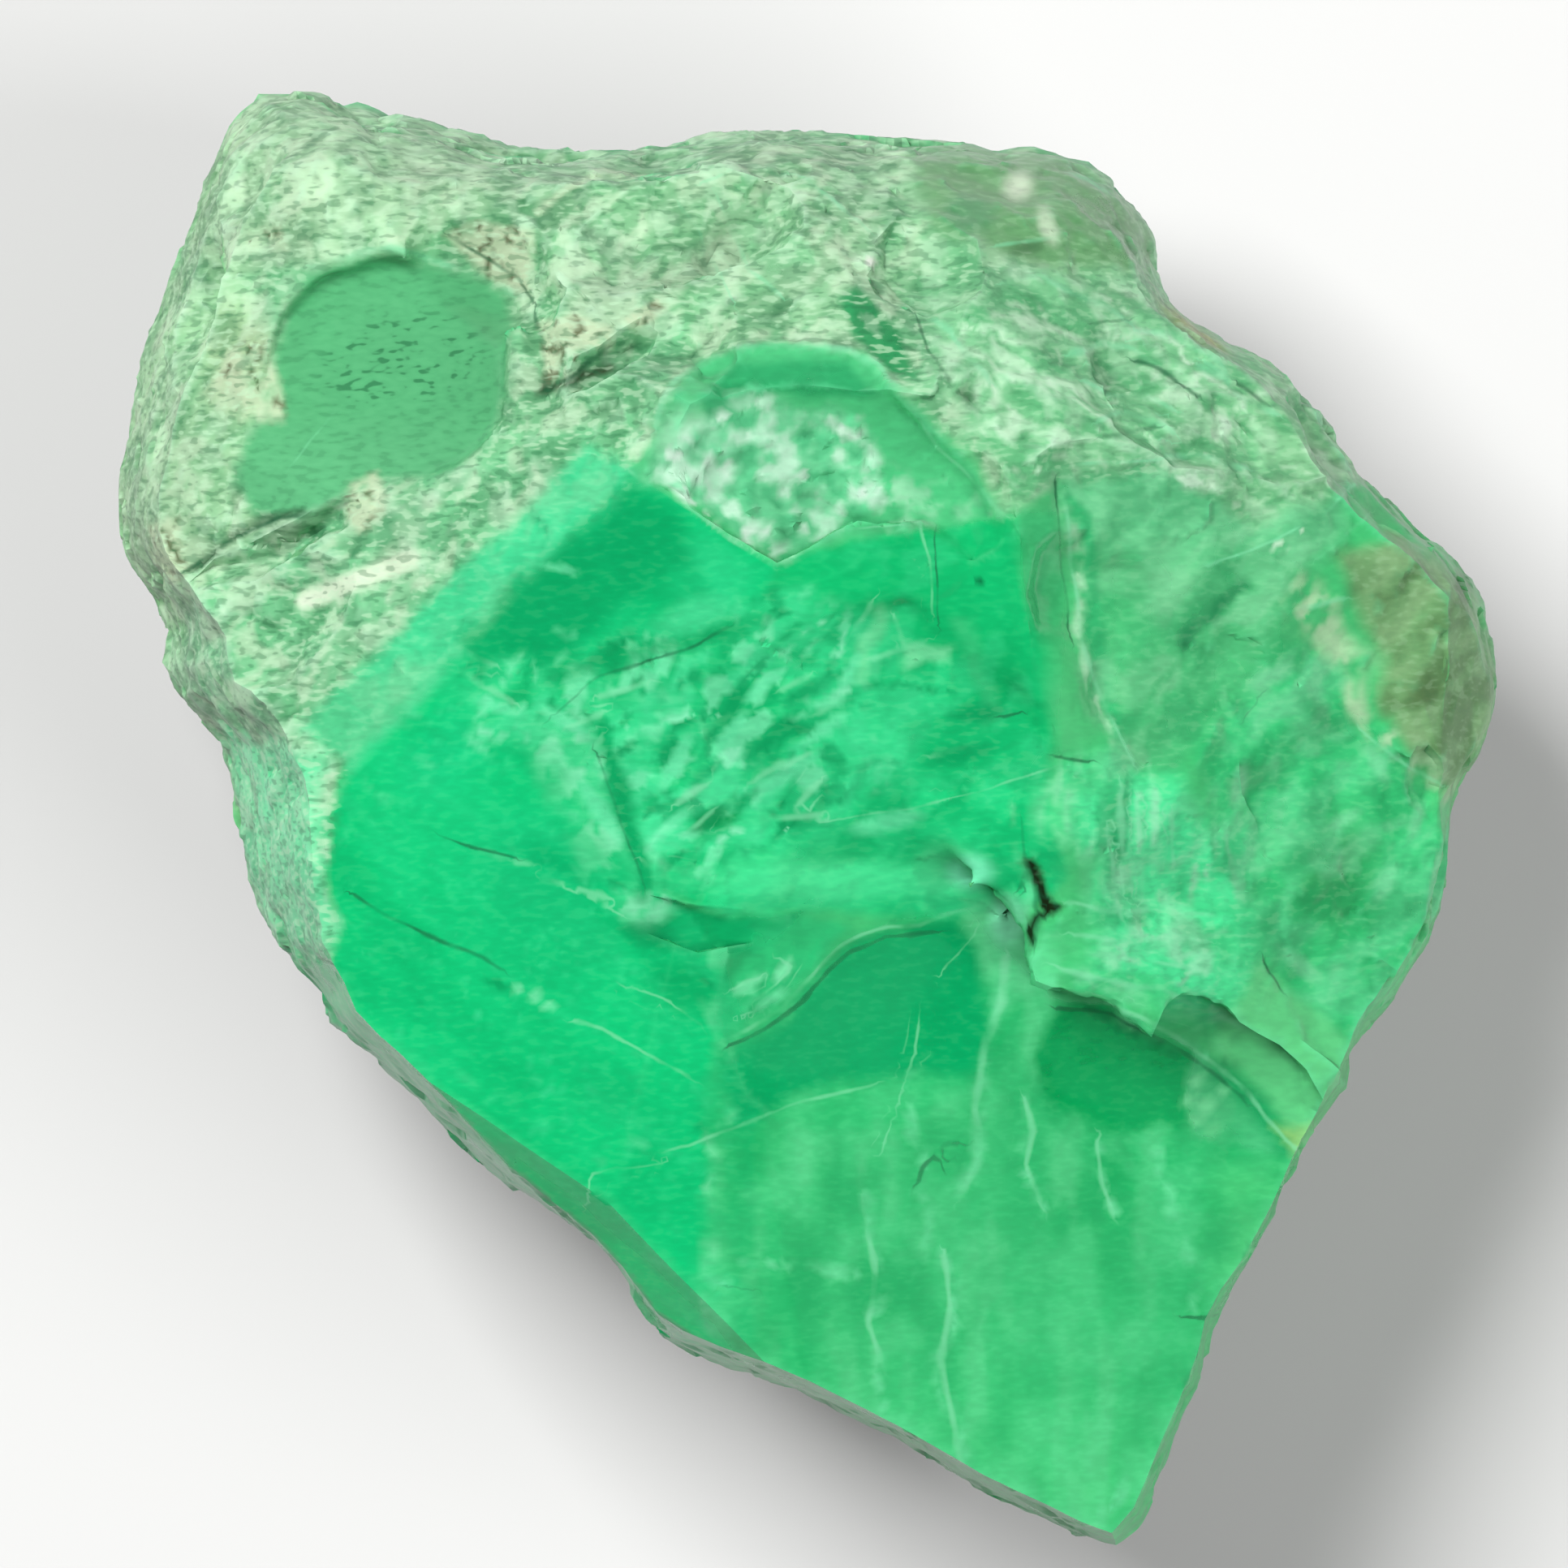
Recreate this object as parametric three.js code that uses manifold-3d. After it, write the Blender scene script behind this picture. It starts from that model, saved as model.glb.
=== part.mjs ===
// A rough emerald crystal: one loose, broken piece of beryl that lies on a flat cleavage at its back.
// Millimetres, +Z up. The origin is under the middle of the crystal, on the surface that it rests on.
// +Y is the long way, and the flat crystal faces look up.

import * as THREE from "three";
import { ImprovedNoise } from "three/addons/math/ImprovedNoise.js";
import { mergeVertices } from "three/addons/utils/BufferGeometryUtils.js";
import Module from "manifold-3d";

const wasm = await Module();
wasm.setup();

// Driving dimensions
const LENGTH = 28.1;
const WIDTH = 26.5;
const HEIGHT = 14; // of the body before its upper faces
const GIRDLE = 5.5; // mean height of the widest line round the crystal
const GIRDLE_SWAYS = [
  { turns: 2, start: 0.6, height: 0.75 },
  { turns: 3, start: 4.0, height: 0.5 },
  { turns: 7, start: 2.2, height: 0.35 },
];
const FINE_EDGE = 0.8; // longest triangle side on the upper surface
const COARSE_EDGE = 1.75; // and on the underside
const UNDERSIDE = 3.5; // height under which the triangles are coarse
const RIM_EDGE = 0.75; // and where the surface is steep near the outline
const SAME_POINT = 1e-4;
const LEVEL = Math.cos(0.06); // triangles that turn less than this lie level

// Rounds of joining short sides: longest side that is joined, and how far a triangle may turn
const JOINING = [
  { side: 0.1, tilt: 0.6 },
  { side: 0.22, tilt: 0.35 },
  { side: 0.4, tilt: 0.18 },
];

// The crystal's outline seen from above, counterclockwise from the upper left corner
const OUTLINE = [
  [-10.5, 14.05], [-11.2, 13.3], [-11.7, 12.0], [-12.3, 10.1], [-12.9, 8.2], [-13.2, 6.4], [-13.0, 5.1],
  [-12.4, 4.3], [-12.1, 3.5], [-12.25, 3.1], [-12.2, 2.6], [-11.8, 2.2], [-11.2, 1.6], [-10.9, 0.2],
  [-10.6, -1.2], [-9.9, -2.7], [-9.0, -3.6], [-9.0, -4.1], [-8.4, -4.5], [-7.0, -5.9], [-5.6, -7.2],
  [-4.2, -8.0], [-3.6, -8.6], [-2.8, -9.9], [-2.2, -10.3], [-0.2, -11.0], [2.2, -12.2], [3.5, -13.0],
  [5.4, -13.8], [5.9, -14.05], [6.4, -13.7], [6.9, -12.5], [7.7, -10.5], [7.9, -9.6], [8.7, -8.4],
  [9.5, -6.8], [9.8, -6.1], [10.4, -5.3], [10.5, -4.4], [11.2, -3.6], [12.3, -1.8], [12.4, -0.7],
  [12.5, 0.5], [13.0, 1.3], [13.3, 2.3], [13.1, 3.6], [12.6, 4.8], [11.6, 5.7], [10.9, 6.4],
  [10.2, 7.2], [9.7, 8.1], [9.1, 8.6], [8.0, 9.1], [7.2, 9.7], [6.8, 10.3], [6.6, 11.0],
  [5.9, 11.9], [4.9, 12.5], [3.4, 12.9], [1.7, 13.0], [-0.2, 13.2], [-1.4, 13.2], [-3.3, 12.9],
  [-4.7, 12.9], [-6.1, 13.0], [-7.3, 13.4], [-8.8, 13.7], [-9.4, 14.05],
];
const OUTLINE_STEPS = 130;

// Corners of the flat cleavage that the crystal rests on, and those that its upper sides lean in to
const FOOT = [
  [-8.2, 8.4], [-9.4, 3.6], [-7.2, -1.2], [-2.4, -5.2], [3.4, -8.6], [6.6, -5.2], [8.0, 1.8], [4.2, 7.6],
];
const CROWN = [
  [-9.4, 10.6], [-11.0, 4.6], [-8.6, 0.8], [-8.3, -3.3], [-2.6, -9.2], [5.5, -13.0], [7.2, -9.0],
  [9.4, -5.0], [10.8, -0.8], [11.2, 3.4], [7.0, 8.2], [3.6, 11.0], [-3.0, 11.2],
];

// Rings of the body: share of the way in from the outline, and share of the height from the widest line
const LOWER_RINGS = [
  [1, 1],
  [0.58, 0.8],
  [0.26, 0.5],
  [0.06, 0.18],
];
const UPPER_RINGS = [
  [0, 0],
  [0.03, 0.1],
  [0.2, 0.34],
  [0.5, 0.62],
  [1, 1],
];

// Flat faces of the upper side. Each passes through three points, and what lies above it is gone.
const PEAK = [-3.3, 6.6, 13.2]; // upper corner of the clean faces
const SHOULDER = [-8.9, 0.8, 11.95]; // where its upper left edge ends
const RIDGE_TOP = [-0.5, 4.8, 13.5]; // the low ridge between the prism face and the front face
const RIDGE_FOOT = [-2.2, -1.6, 12.8];
const BLOCK_TOP = [4.9, 6.3, 13.2];
const BLOCK_FOOT = [5.2, 0.5, 12.3];
const UPPER_FACES = [
  [RIDGE_TOP, RIDGE_FOOT, BLOCK_TOP], // front
  [PEAK, SHOULDER, RIDGE_FOOT], // left prism face
  [PEAK, SHOULDER, [-7.0, 4.6, 12.2]], // smooth band along the upper left edge
  [[-4.2, 7.5, 12.85], [-9.8, 1.7, 11.6], [-10, 12.6, 9.6]], // weathered upper left
  [[-3.3, 7.8, 13.3], [3, 8.2, 13.2], [-1, 12.7, 10.0]], // upper slope
  [[4.9, 6.5, 13.2], [9.5, 8.0, 9.4], [3.5, 12.3, 9.6]], // upper right
  [BLOCK_TOP, BLOCK_FOOT, [11, 5, 9.6]], // right block
  [BLOCK_FOOT, [11.5, -1, 9.0], [8.5, -5.8, 10.3]], // lower right
];

// Layers that have broken away. Each is gone down to a plane, inside a ragged edge seen from above.
const WINDOW = {
  floor: [[-8, 10.8, 10.1], [-10.5, 6.5, 10.35], [-5.6, 7.4, 11.8]],
  edge: [
    [-10.3, 8.4], [-10.6, 7.0], [-10.1, 6.3], [-8.9, 6.1], [-7.7, 6.3], [-6.3, 6.8], [-5.6, 7.6],
    [-5.4, 8.8], [-5.9, 9.9], [-6.7, 10.5], [-8.0, 10.8], [-9.2, 10.5], [-10.0, 9.5],
  ],
};
const LAYERS = [
  {
    // the lower face, one layer deeper than the front face
    floor: [[-1.9, -2.2, 12.75], [-2.1, -9.9, 12.2], [7.5, -8, 9.0]],
    edge: [
      [-1.75, -4.4], [-0.7, -3.8], [0.2, -2.9], [1.3, -2.15], [2.1, -2.2], [3.3, -1.7], [4.0, -1.95],
      [4.4, -3.1], [5.5, -3.55], [7.0, -4.4], [8.5, -5.3], [9.1, -6.2], [16, -9], [16, -20], [-2.4, -20],
    ],
  },
  WINDOW,
  {
    // flaked middle of the front face
    drop: 0.28,
    edge: [
      [-4.7, 1.6], [-3.6, 0.9], [-3.3, -0.3], [-2.9, -1.2], [-2.2, -1.65], [-0.5, -1.8], [1.8, -1.5],
      [3.3, -1.2], [3.9, 0.1], [4.6, 1.2], [4.2, 2.6], [3.0, 2.9], [1.9, 4.1], [0.6, 3.6], [-0.6, 3.2],
      [-2.0, 3.1], [-3.2, 2.5],
    ],
  },
  {
    // its deeper part
    floor: [[-2.4, 0.3, 12.55], [0.5, -1, 12.05], [2.4, 2.4, 12.6]],
    edge: [
      [-2.5, 0.9], [-1.6, -0.3], [-0.6, -0.4], [0.3, -1.2], [1.9, -0.6], [3.2, 0.3], [2.7, 1.3], [3.1, 2.4],
      [1.7, 2.2], [1.0, 3.0], [0.1, 2.0], [-1.2, 2.1],
    ],
  },
  {
    // small step under the flaked middle
    drop: 0.3,
    edge: [[-3.7, -1.7], [-2.9, -1.5], [-2.2, -1.7], [-0.3, -1.8], [-0.6, -2.3], [-2.0, -2.6], [-3.0, -2.2]],
  },
  {
    // right block, which tilts down to its left edge
    floor: [[4.9, 6.6, 12.75], [5.2, 0.9, 11.85], [10.2, 5.5, 10.15]],
    edge: [
      [4.85, 6.6], [5.0, 4.8], [5.4, 2.3], [6.2, 0.9], [7.1, 0.9], [8.0, 2.0], [8.9, 2.3], [9.6, 4.6],
      [10.2, 6.6], [7.0, 6.9],
    ],
  },
  {
    // smooth lower right side
    drop: 0.2,
    edge: [[8.2, 1.6], [9.2, -1.6], [8.8, -3.6], [10.4, -5.0], [13, -3], [13.5, 0], [10.6, 1.4]],
  },
];

// The bowl above the front face, cut off by the face's straight upper right edge
const BOWL = { at: [0.3, 6.6], reach: [3.5, 2.3], turn: -12, depth: 1.3 };
const BOWL_EDGE = [
  [-3.3, 6.6], [-0.5, 4.8], [0.9, 5.5], [2.3, 5.4], [3.9, 5.6], [6.0, 6.4], [5.5, 11.0], [-1.5, 11.5],
  [-4.5, 9.5], [-3.7, 7.4],
];

// Shell-shaped scars on the upper side: middle, reach along and across, turn and depth
const SCARS = [
  { at: [-2.3, 11.2], reach: [2.4, 1.3], turn: 25, depth: 0.6 },
  { at: [2.2, 10.6], reach: [2.2, 1.4], turn: -50, depth: 0.35 },
  { at: [6.4, 7.9], reach: [2.4, 1.2], turn: -28, depth: 0.32 },
  { at: [8.9, 7.0], reach: [1.6, 0.9], turn: -35, depth: 0.3 },
  { at: [10.3, 3.0], reach: [1.3, 1.9], turn: 25, depth: 0.5 },
  { at: [6.9, -1.6], reach: [2.2, 1.2], turn: -20, depth: 0.45 },
  { at: [1.2, -3.3], reach: [3.2, 2.6], turn: 25, depth: 0.32 }, // hollow under the ragged edge
  { at: [6.9, -5.4], reach: [2.9, 1.9], turn: -28, depth: 0.4 }, // and under its right half
  { at: [-10.0, 3.6], reach: [1.9, 1.0], turn: 35, depth: 0.5 },
  { at: [-11.6, 9.6], reach: [0.9, 1.9], turn: 8, depth: 0.4 },
  { at: [-10.6, 12.2], reach: [1.5, 1.0], turn: 40, depth: 0.4 },
];
const SCAR_ROUND = 2.2; // a scar's ellipsoid is this many depths tall

// Sides of the ellipsoids, rows for each side, and how finely the lumps are divided
const BOWL_SIDES = 32;
const SCAR_SIDES = 20;
const CHIP_SIDES = 11;
const ROWS = 0.6;
const LUMP_DETAIL = 6;

// Open cracks, each a groove between two points
const CRACKS = [
  { from: [-6.9, 11.5], to: [-4.7, 9.6], width: 1.0, depth: 0.6 },
  { from: [-5.1, 9.9], to: [-4.7, 7.4], width: 0.9, depth: 0.55 },
  { from: [-4.9, 7.9], to: [-2.5, 9.7], width: 0.9, depth: 0.6 },
  { from: [-12.0, 4.3], to: [-8.0, 6.0], width: 0.8, depth: 0.55 },
];

// Rounded lumps at the right edge
const LUMPS = [
  { at: [11.0, 2.2, 5.9], reach: [2.2, 2.4, 3.1] },
  { at: [4.1, 10.4, 6.2], reach: [2.7, 2.4, 3.5] },
];

// Broken faces on the sides and the underside: compass direction, lean from upright, and depth of the bite
const BREAKS = [
  { toward: 20, lean: -52, bite: 0.9 },
  { toward: 62, lean: -38, bite: 0.8 },
  { toward: 112, lean: -50, bite: 1.0 },
  { toward: 150, lean: -36, bite: 0.7 },
  { toward: 196, lean: -55, bite: 1.1 },
  { toward: 232, lean: -40, bite: 0.7 },
  { toward: 262, lean: -58, bite: 1.2 },
  { toward: 318, lean: -44, bite: 0.9 },
  { toward: 345, lean: -66, bite: 0.7 },
  { toward: 78, lean: 34, bite: 0.6 },
  { toward: 232, lean: 40, bite: 0.55 },
  { toward: 352, lean: 30, bite: 0.4 },
];

// Large shell-shaped scars on the sides: compass direction, height, reach along and across, turn and depth
const SIDE_SCARS = [
  { toward: 95, height: 4.6, reach: [3.8, 2.0], turn: 10, depth: 0.6 },
  { toward: 140, height: 4.2, reach: [2.6, 1.9], turn: 60, depth: 0.55 },
  { toward: 182, height: 3.6, reach: [3.0, 1.7], turn: -20, depth: 0.6 },
  { toward: 236, height: 5.0, reach: [3.4, 1.8], turn: 12, depth: 0.5 },
  { toward: 262, height: 3.4, reach: [2.8, 1.7], turn: -30, depth: 0.6 },
  { toward: 308, height: 4.8, reach: [2.8, 1.6], turn: 35, depth: 0.5 },
  { toward: 350, height: 3.8, reach: [3.0, 1.9], turn: -15, depth: 0.6 },
  { toward: 40, height: 3.6, reach: [2.6, 1.8], turn: 25, depth: 0.6 },
];

// Small chips, scattered where the crystal is weathered and over its sides
const CHIPS = 76;
const CHIP_REACH = [0.6, 1.6];
const CHIP_ACROSS = [0.55, 0.9]; // share of the reach
const CHIP_DEPTH = 0.27; // share of the reach
const CHIP_SEED = 41;
const CHIP_LOWEST = 1.2; // no chips below this, so that the resting face stays whole

// Borders of the clean faces: a point on each, and the compass direction of the weathered ground beyond it
const CLEAN_BORDERS = [
  { through: [-4.3, 7.6], toward: 136 },
  { through: [0, 5.4], toward: 84 },
  { through: [5.4, -1], toward: 25 },
];
const BORDER_WIDTH = 1.4;

// Waviness of the surface: coarse swells and fine grain
const SWELL = { size: 3.4, height: 0.3 };
const GRAIN = { size: 1.2, height: 0.2 };
const CLEAN = 0.15; // share of it on the clean crystal faces
const CLEAN_RISE = 3; // height over the widest line in which the clean faces set in
const FOOT_RISE = 1; // height over the resting face in which the unevenness sets in
const RIM_SHARE = 0.35; // share of it on the outline, so that the outline holds
const RIM_FROM = 0.85; // share of the way out from the middle where the rim begins
const WANDER_STARTS = [
  [31.7, 4.1, 7.3],
  [2.9, 17.3, 51.1],
  [61.3, 29.9, 3.7],
];

const COLOUR = new THREE.Color(0.03, 0.5, 0.19);

// A closed geometry as a solid that can be joined and cut.
function solidOf(geometry) {
  const bare = geometry.clone();
  bare.deleteAttribute("normal");
  bare.deleteAttribute("uv");
  const merged = mergeVertices(bare, SAME_POINT);
  return new wasm.Manifold(
    new wasm.Mesh({
      numProp: 3,
      vertProperties: new Float32Array(merged.attributes.position.array),
      triVerts: new Uint32Array(merged.index.array),
    }),
  );
}

// The outline as a smooth closed run of points.
function outlinePoints() {
  const corners = OUTLINE.map(([x, y]) => new THREE.Vector3(x, y, 0));
  const curve = new THREE.CatmullRomCurve3(corners, true, "centripetal");
  return curve.getSpacedPoints(OUTLINE_STEPS).slice(0, OUTLINE_STEPS);
}

// How far a ring of corners reaches from the middle in a direction of the plan.
function reachOf(corners, direction) {
  for (let i = 0; i < corners.length; i++) {
    const start = new THREE.Vector2(...corners[i]);
    const side = new THREE.Vector2(...corners[(i + 1) % corners.length]).sub(start);
    const turn = direction.cross(side);
    const along = start.cross(side) / turn;
    const share = start.cross(direction) / turn;
    if (along > 0 && share >= 0 && share <= 1) return along;
  }
  return 0;
}

// The height of the widest line in a direction of the plan.
function girdleHeight(direction) {
  const angle = direction.angle();
  const swayOf = ({ turns, start, height }) => height * Math.sin(turns * angle + start);
  return GIRDLE_SWAYS.reduce((z, sway) => z + swayOf(sway), GIRDLE);
}

// The broken body before its faces: rings from the foot to the outline and on to the crown.
function bodyGeometry() {
  const outline = outlinePoints();
  const rings = [
    ...LOWER_RINGS.map(([inward, fall]) => ({ corners: FOOT, inward, rise: -fall })),
    ...UPPER_RINGS.map(([inward, rise]) => ({ corners: CROWN, inward, rise })),
  ];
  const positions = [];
  for (const { corners, inward, rise } of rings) {
    for (const { x, y } of outline) {
      const reach = Math.hypot(x, y);
      const direction = new THREE.Vector2(x, y).normalize();
      const share = THREE.MathUtils.lerp(1, reachOf(corners, direction) / reach, inward);
      const girdle = girdleHeight(direction);
      positions.push(x * share, y * share, girdle + rise * (rise < 0 ? girdle : HEIGHT - girdle));
    }
  }
  const bottom = positions.length / 3;
  positions.push(0, 0, 0, 0, 0, HEIGHT);
  const count = outline.length;
  const last = (rings.length - 1) * count;
  const faces = [];
  for (let i = 0; i < count; i++) {
    const next = (i + 1) % count;
    for (let low = 0; low < last; low += count) {
      const high = low + count;
      faces.push(low + i, low + next, high + next, low + i, high + next, high + i);
    }
    faces.push(bottom, next, i, bottom + 1, last + i, last + next);
  }
  return new THREE.BufferGeometry()
    .setAttribute("position", new THREE.Float32BufferAttribute(positions, 3))
    .setIndex(faces);
}

// The plane through three points, facing up.
function planeThrough(corners) {
  const [a, b, c] = corners.map((p) => new THREE.Vector3(...p));
  const plane = new THREE.Plane().setFromCoplanarPoints(a, b, c);
  return plane.normal.z < 0 ? plane.negate() : plane;
}

// A block that fills the space on the outer side of a plane.
function blockBeyond(plane) {
  const size = 4 * LENGTH;
  const turn = new THREE.Quaternion().setFromUnitVectors(new THREE.Vector3(0, 0, 1), plane.normal);
  const foot = plane.coplanarPoint(new THREE.Vector3());
  const block = new THREE.BoxGeometry(size, size, size).translate(0, 0, size / 2);
  return solidOf(block.applyQuaternion(turn).translate(foot.x, foot.y, foot.z));
}

// The direction of a compass bearing in degrees, leaning up or down from level.
function headingOf(toward, lean) {
  const [bearing, tilt] = [THREE.MathUtils.degToRad(toward), THREE.MathUtils.degToRad(lean)];
  return new THREE.Vector3(
    Math.cos(bearing) * Math.cos(tilt),
    Math.sin(bearing) * Math.cos(tilt),
    Math.sin(tilt),
  );
}

// The plane of a broken side, sunk by its bite into the farthest point of the solid.
function breakPlane(solid, { toward, lean, bite }) {
  const normal = headingOf(toward, lean);
  const points = solid.getMesh().vertProperties;
  const point = new THREE.Vector3();
  let farthest = -Infinity;
  for (let i = 0; i < points.length; i += 3) {
    farthest = Math.max(farthest, point.fromArray(points, i).dot(normal));
  }
  return new THREE.Plane(normal, bite - farthest);
}

const upperPlanes = UPPER_FACES.map(planeThrough);

// The height of a plane over a point of the plan.
function heightOf(plane, x, y) {
  return -(plane.constant + plane.normal.x * x + plane.normal.y * y) / plane.normal.z;
}

// A tall column over a closed run of points in the plan.
function columnSolid(edge) {
  const shape = new THREE.Shape(edge.map(([x, y]) => new THREE.Vector2(x, y)));
  return solidOf(new THREE.ExtrudeGeometry(shape, { depth: 2 * HEIGHT, bevelEnabled: false }));
}

// What is gone where a layer has broken away: all inside its edge and above its floor.
function layerSolid({ edge, floor, drop }) {
  const column = columnSolid(edge);
  if (floor) return column.intersect(blockBeyond(planeThrough(floor)));
  const middle = edge.reduce((sum, [x, y]) => [sum[0] + x / edge.length, sum[1] + y / edge.length], [0, 0]);
  const plane = upperPlanes.reduce((a, b) => (heightOf(a, ...middle) < heightOf(b, ...middle) ? a : b));
  return column.intersect(blockBeyond(plane.clone().translate(new THREE.Vector3(0, 0, -drop))));
}

// The mesh of a solid, for finding points on its surface.
function meshOf(solid) {
  const { vertProperties, triVerts } = solid.getMesh();
  const geometry = new THREE.BufferGeometry()
    .setAttribute("position", new THREE.Float32BufferAttribute(vertProperties, 3))
    .setIndex(Array.from(triVerts));
  return new THREE.Mesh(geometry);
}

// Where a line from outside first meets a mesh: the point and the surface's direction there.
function surfaceAt(mesh, start, heading) {
  const [hit] = new THREE.Raycaster(start, heading).intersectObject(mesh);
  return hit && { point: hit.point, normal: hit.face.normal };
}

function surfaceBelow(mesh, [x, y]) {
  return surfaceAt(mesh, new THREE.Vector3(x, y, 2 * HEIGHT), new THREE.Vector3(0, 0, -1));
}

// An ellipsoid that lies on a point of the surface, turned with it, and sunk to a depth.
function scarSolid({ point, normal }, { reach, turn, depth }, sides) {
  const tall = depth * SCAR_ROUND;
  const spread = 1 / Math.sqrt(1 - ((tall - depth) / tall) ** 2);
  const bowl = new THREE.SphereGeometry(1, sides, Math.round(sides * ROWS)).rotateX(Math.PI / 2);
  bowl.scale(reach[0] * spread, reach[1] * spread, tall);
  bowl.rotateZ(THREE.MathUtils.degToRad(turn)).translate(0, 0, tall - depth);
  bowl.applyQuaternion(new THREE.Quaternion().setFromUnitVectors(new THREE.Vector3(0, 0, 1), normal));
  return solidOf(bowl.translate(point.x, point.y, point.z));
}

// A crack is a long narrow scar.
function crackScar({ from, to, width, depth }) {
  const [dx, dy] = [to[0] - from[0], to[1] - from[1]];
  return {
    at: [(from[0] + to[0]) / 2, (from[1] + to[1]) / 2],
    reach: [Math.hypot(dx, dy) / 2, width / 2],
    turn: THREE.MathUtils.radToDeg(Math.atan2(dy, dx)),
    depth,
  };
}

function lumpSolid({ at, reach }) {
  return solidOf(new THREE.IcosahedronGeometry(1, LUMP_DETAIL).scale(...reach).translate(...at));
}

// How weathered the upper surface is over a point of the plan, from 0 on the clean faces to 1.
function weathering(x, y) {
  const past = CLEAN_BORDERS.map(({ through, toward }) => {
    const across = headingOf(toward, 0);
    return (x - through[0]) * across.x + (y - through[1]) * across.y;
  });
  return THREE.MathUtils.smoothstep(Math.max(...past), -BORDER_WIDTH / 2, BORDER_WIDTH / 2);
}

// True inside a closed run of points in the plan.
function isInside([x, y], edge) {
  let inside = false;
  edge.forEach(([x0, y0], i) => {
    const [x1, y1] = edge[(i + 1) % edge.length];
    if (y0 > y !== y1 > y && x < x0 + ((y - y0) * (x1 - x0)) / (y1 - y0)) inside = !inside;
  });
  return inside;
}

// Chips over the weathered ground and the sides, at points found by lines towards the middle.
function chipSolids(mesh) {
  const next = () => THREE.MathUtils.seededRandom();
  THREE.MathUtils.seededRandom(CHIP_SEED);
  const middle = new THREE.Vector3(0, 0, GIRDLE);
  const chips = [];
  while (chips.length < CHIPS) {
    const heading = headingOf(360 * next(), THREE.MathUtils.radToDeg(Math.asin(2 * next() - 1)));
    const size = THREE.MathUtils.lerp(...CHIP_REACH, next() ** 2);
    const across = size * THREE.MathUtils.lerp(...CHIP_ACROSS, next());
    const shape = { reach: [size, across], turn: 180 * next(), depth: size * CHIP_DEPTH };
    const spot = surfaceAt(mesh, middle.clone().addScaledVector(heading, LENGTH), heading.clone().negate());
    const plan = [spot.point.x, spot.point.y];
    const clean = spot.point.z > GIRDLE && weathering(...plan) < 1;
    if (clean || spot.point.z < CHIP_LOWEST || isInside(plan, WINDOW.edge)) continue;
    chips.push(scarSolid(spot, shape, CHIP_SIDES));
  }
  return chips;
}

// The crystal with its faces, layers, scars and cracks, before its surface is made uneven.
function carvedSolid() {
  let solid = solidOf(bodyGeometry());
  for (const plane of upperPlanes) solid = solid.subtract(blockBeyond(plane));
  for (const lump of LUMPS) solid = solid.add(lumpSolid(lump));
  for (const side of BREAKS) solid = solid.subtract(blockBeyond(breakPlane(solid, side)));
  const whole = meshOf(solid);
  for (const layer of LAYERS) solid = solid.subtract(layerSolid(layer));
  const bowl = scarSolid(surfaceBelow(whole, BOWL.at), BOWL, BOWL_SIDES);
  solid = solid.subtract(bowl.intersect(columnSolid(BOWL_EDGE)));
  const broken = meshOf(solid);
  for (const scar of [...SCARS, ...CRACKS.map(crackScar)]) {
    solid = solid.subtract(scarSolid(surfaceBelow(broken, scar.at), scar, SCAR_SIDES));
  }
  for (const scar of SIDE_SCARS) {
    const heading = headingOf(scar.toward, 0);
    const start = new THREE.Vector3(0, 0, scar.height).addScaledVector(heading, LENGTH);
    solid = solid.subtract(scarSolid(surfaceAt(broken, start, heading.negate()), scar, SCAR_SIDES));
  }
  for (const chip of chipSolids(meshOf(solid))) solid = solid.subtract(chip);
  return solid;
}

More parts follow.
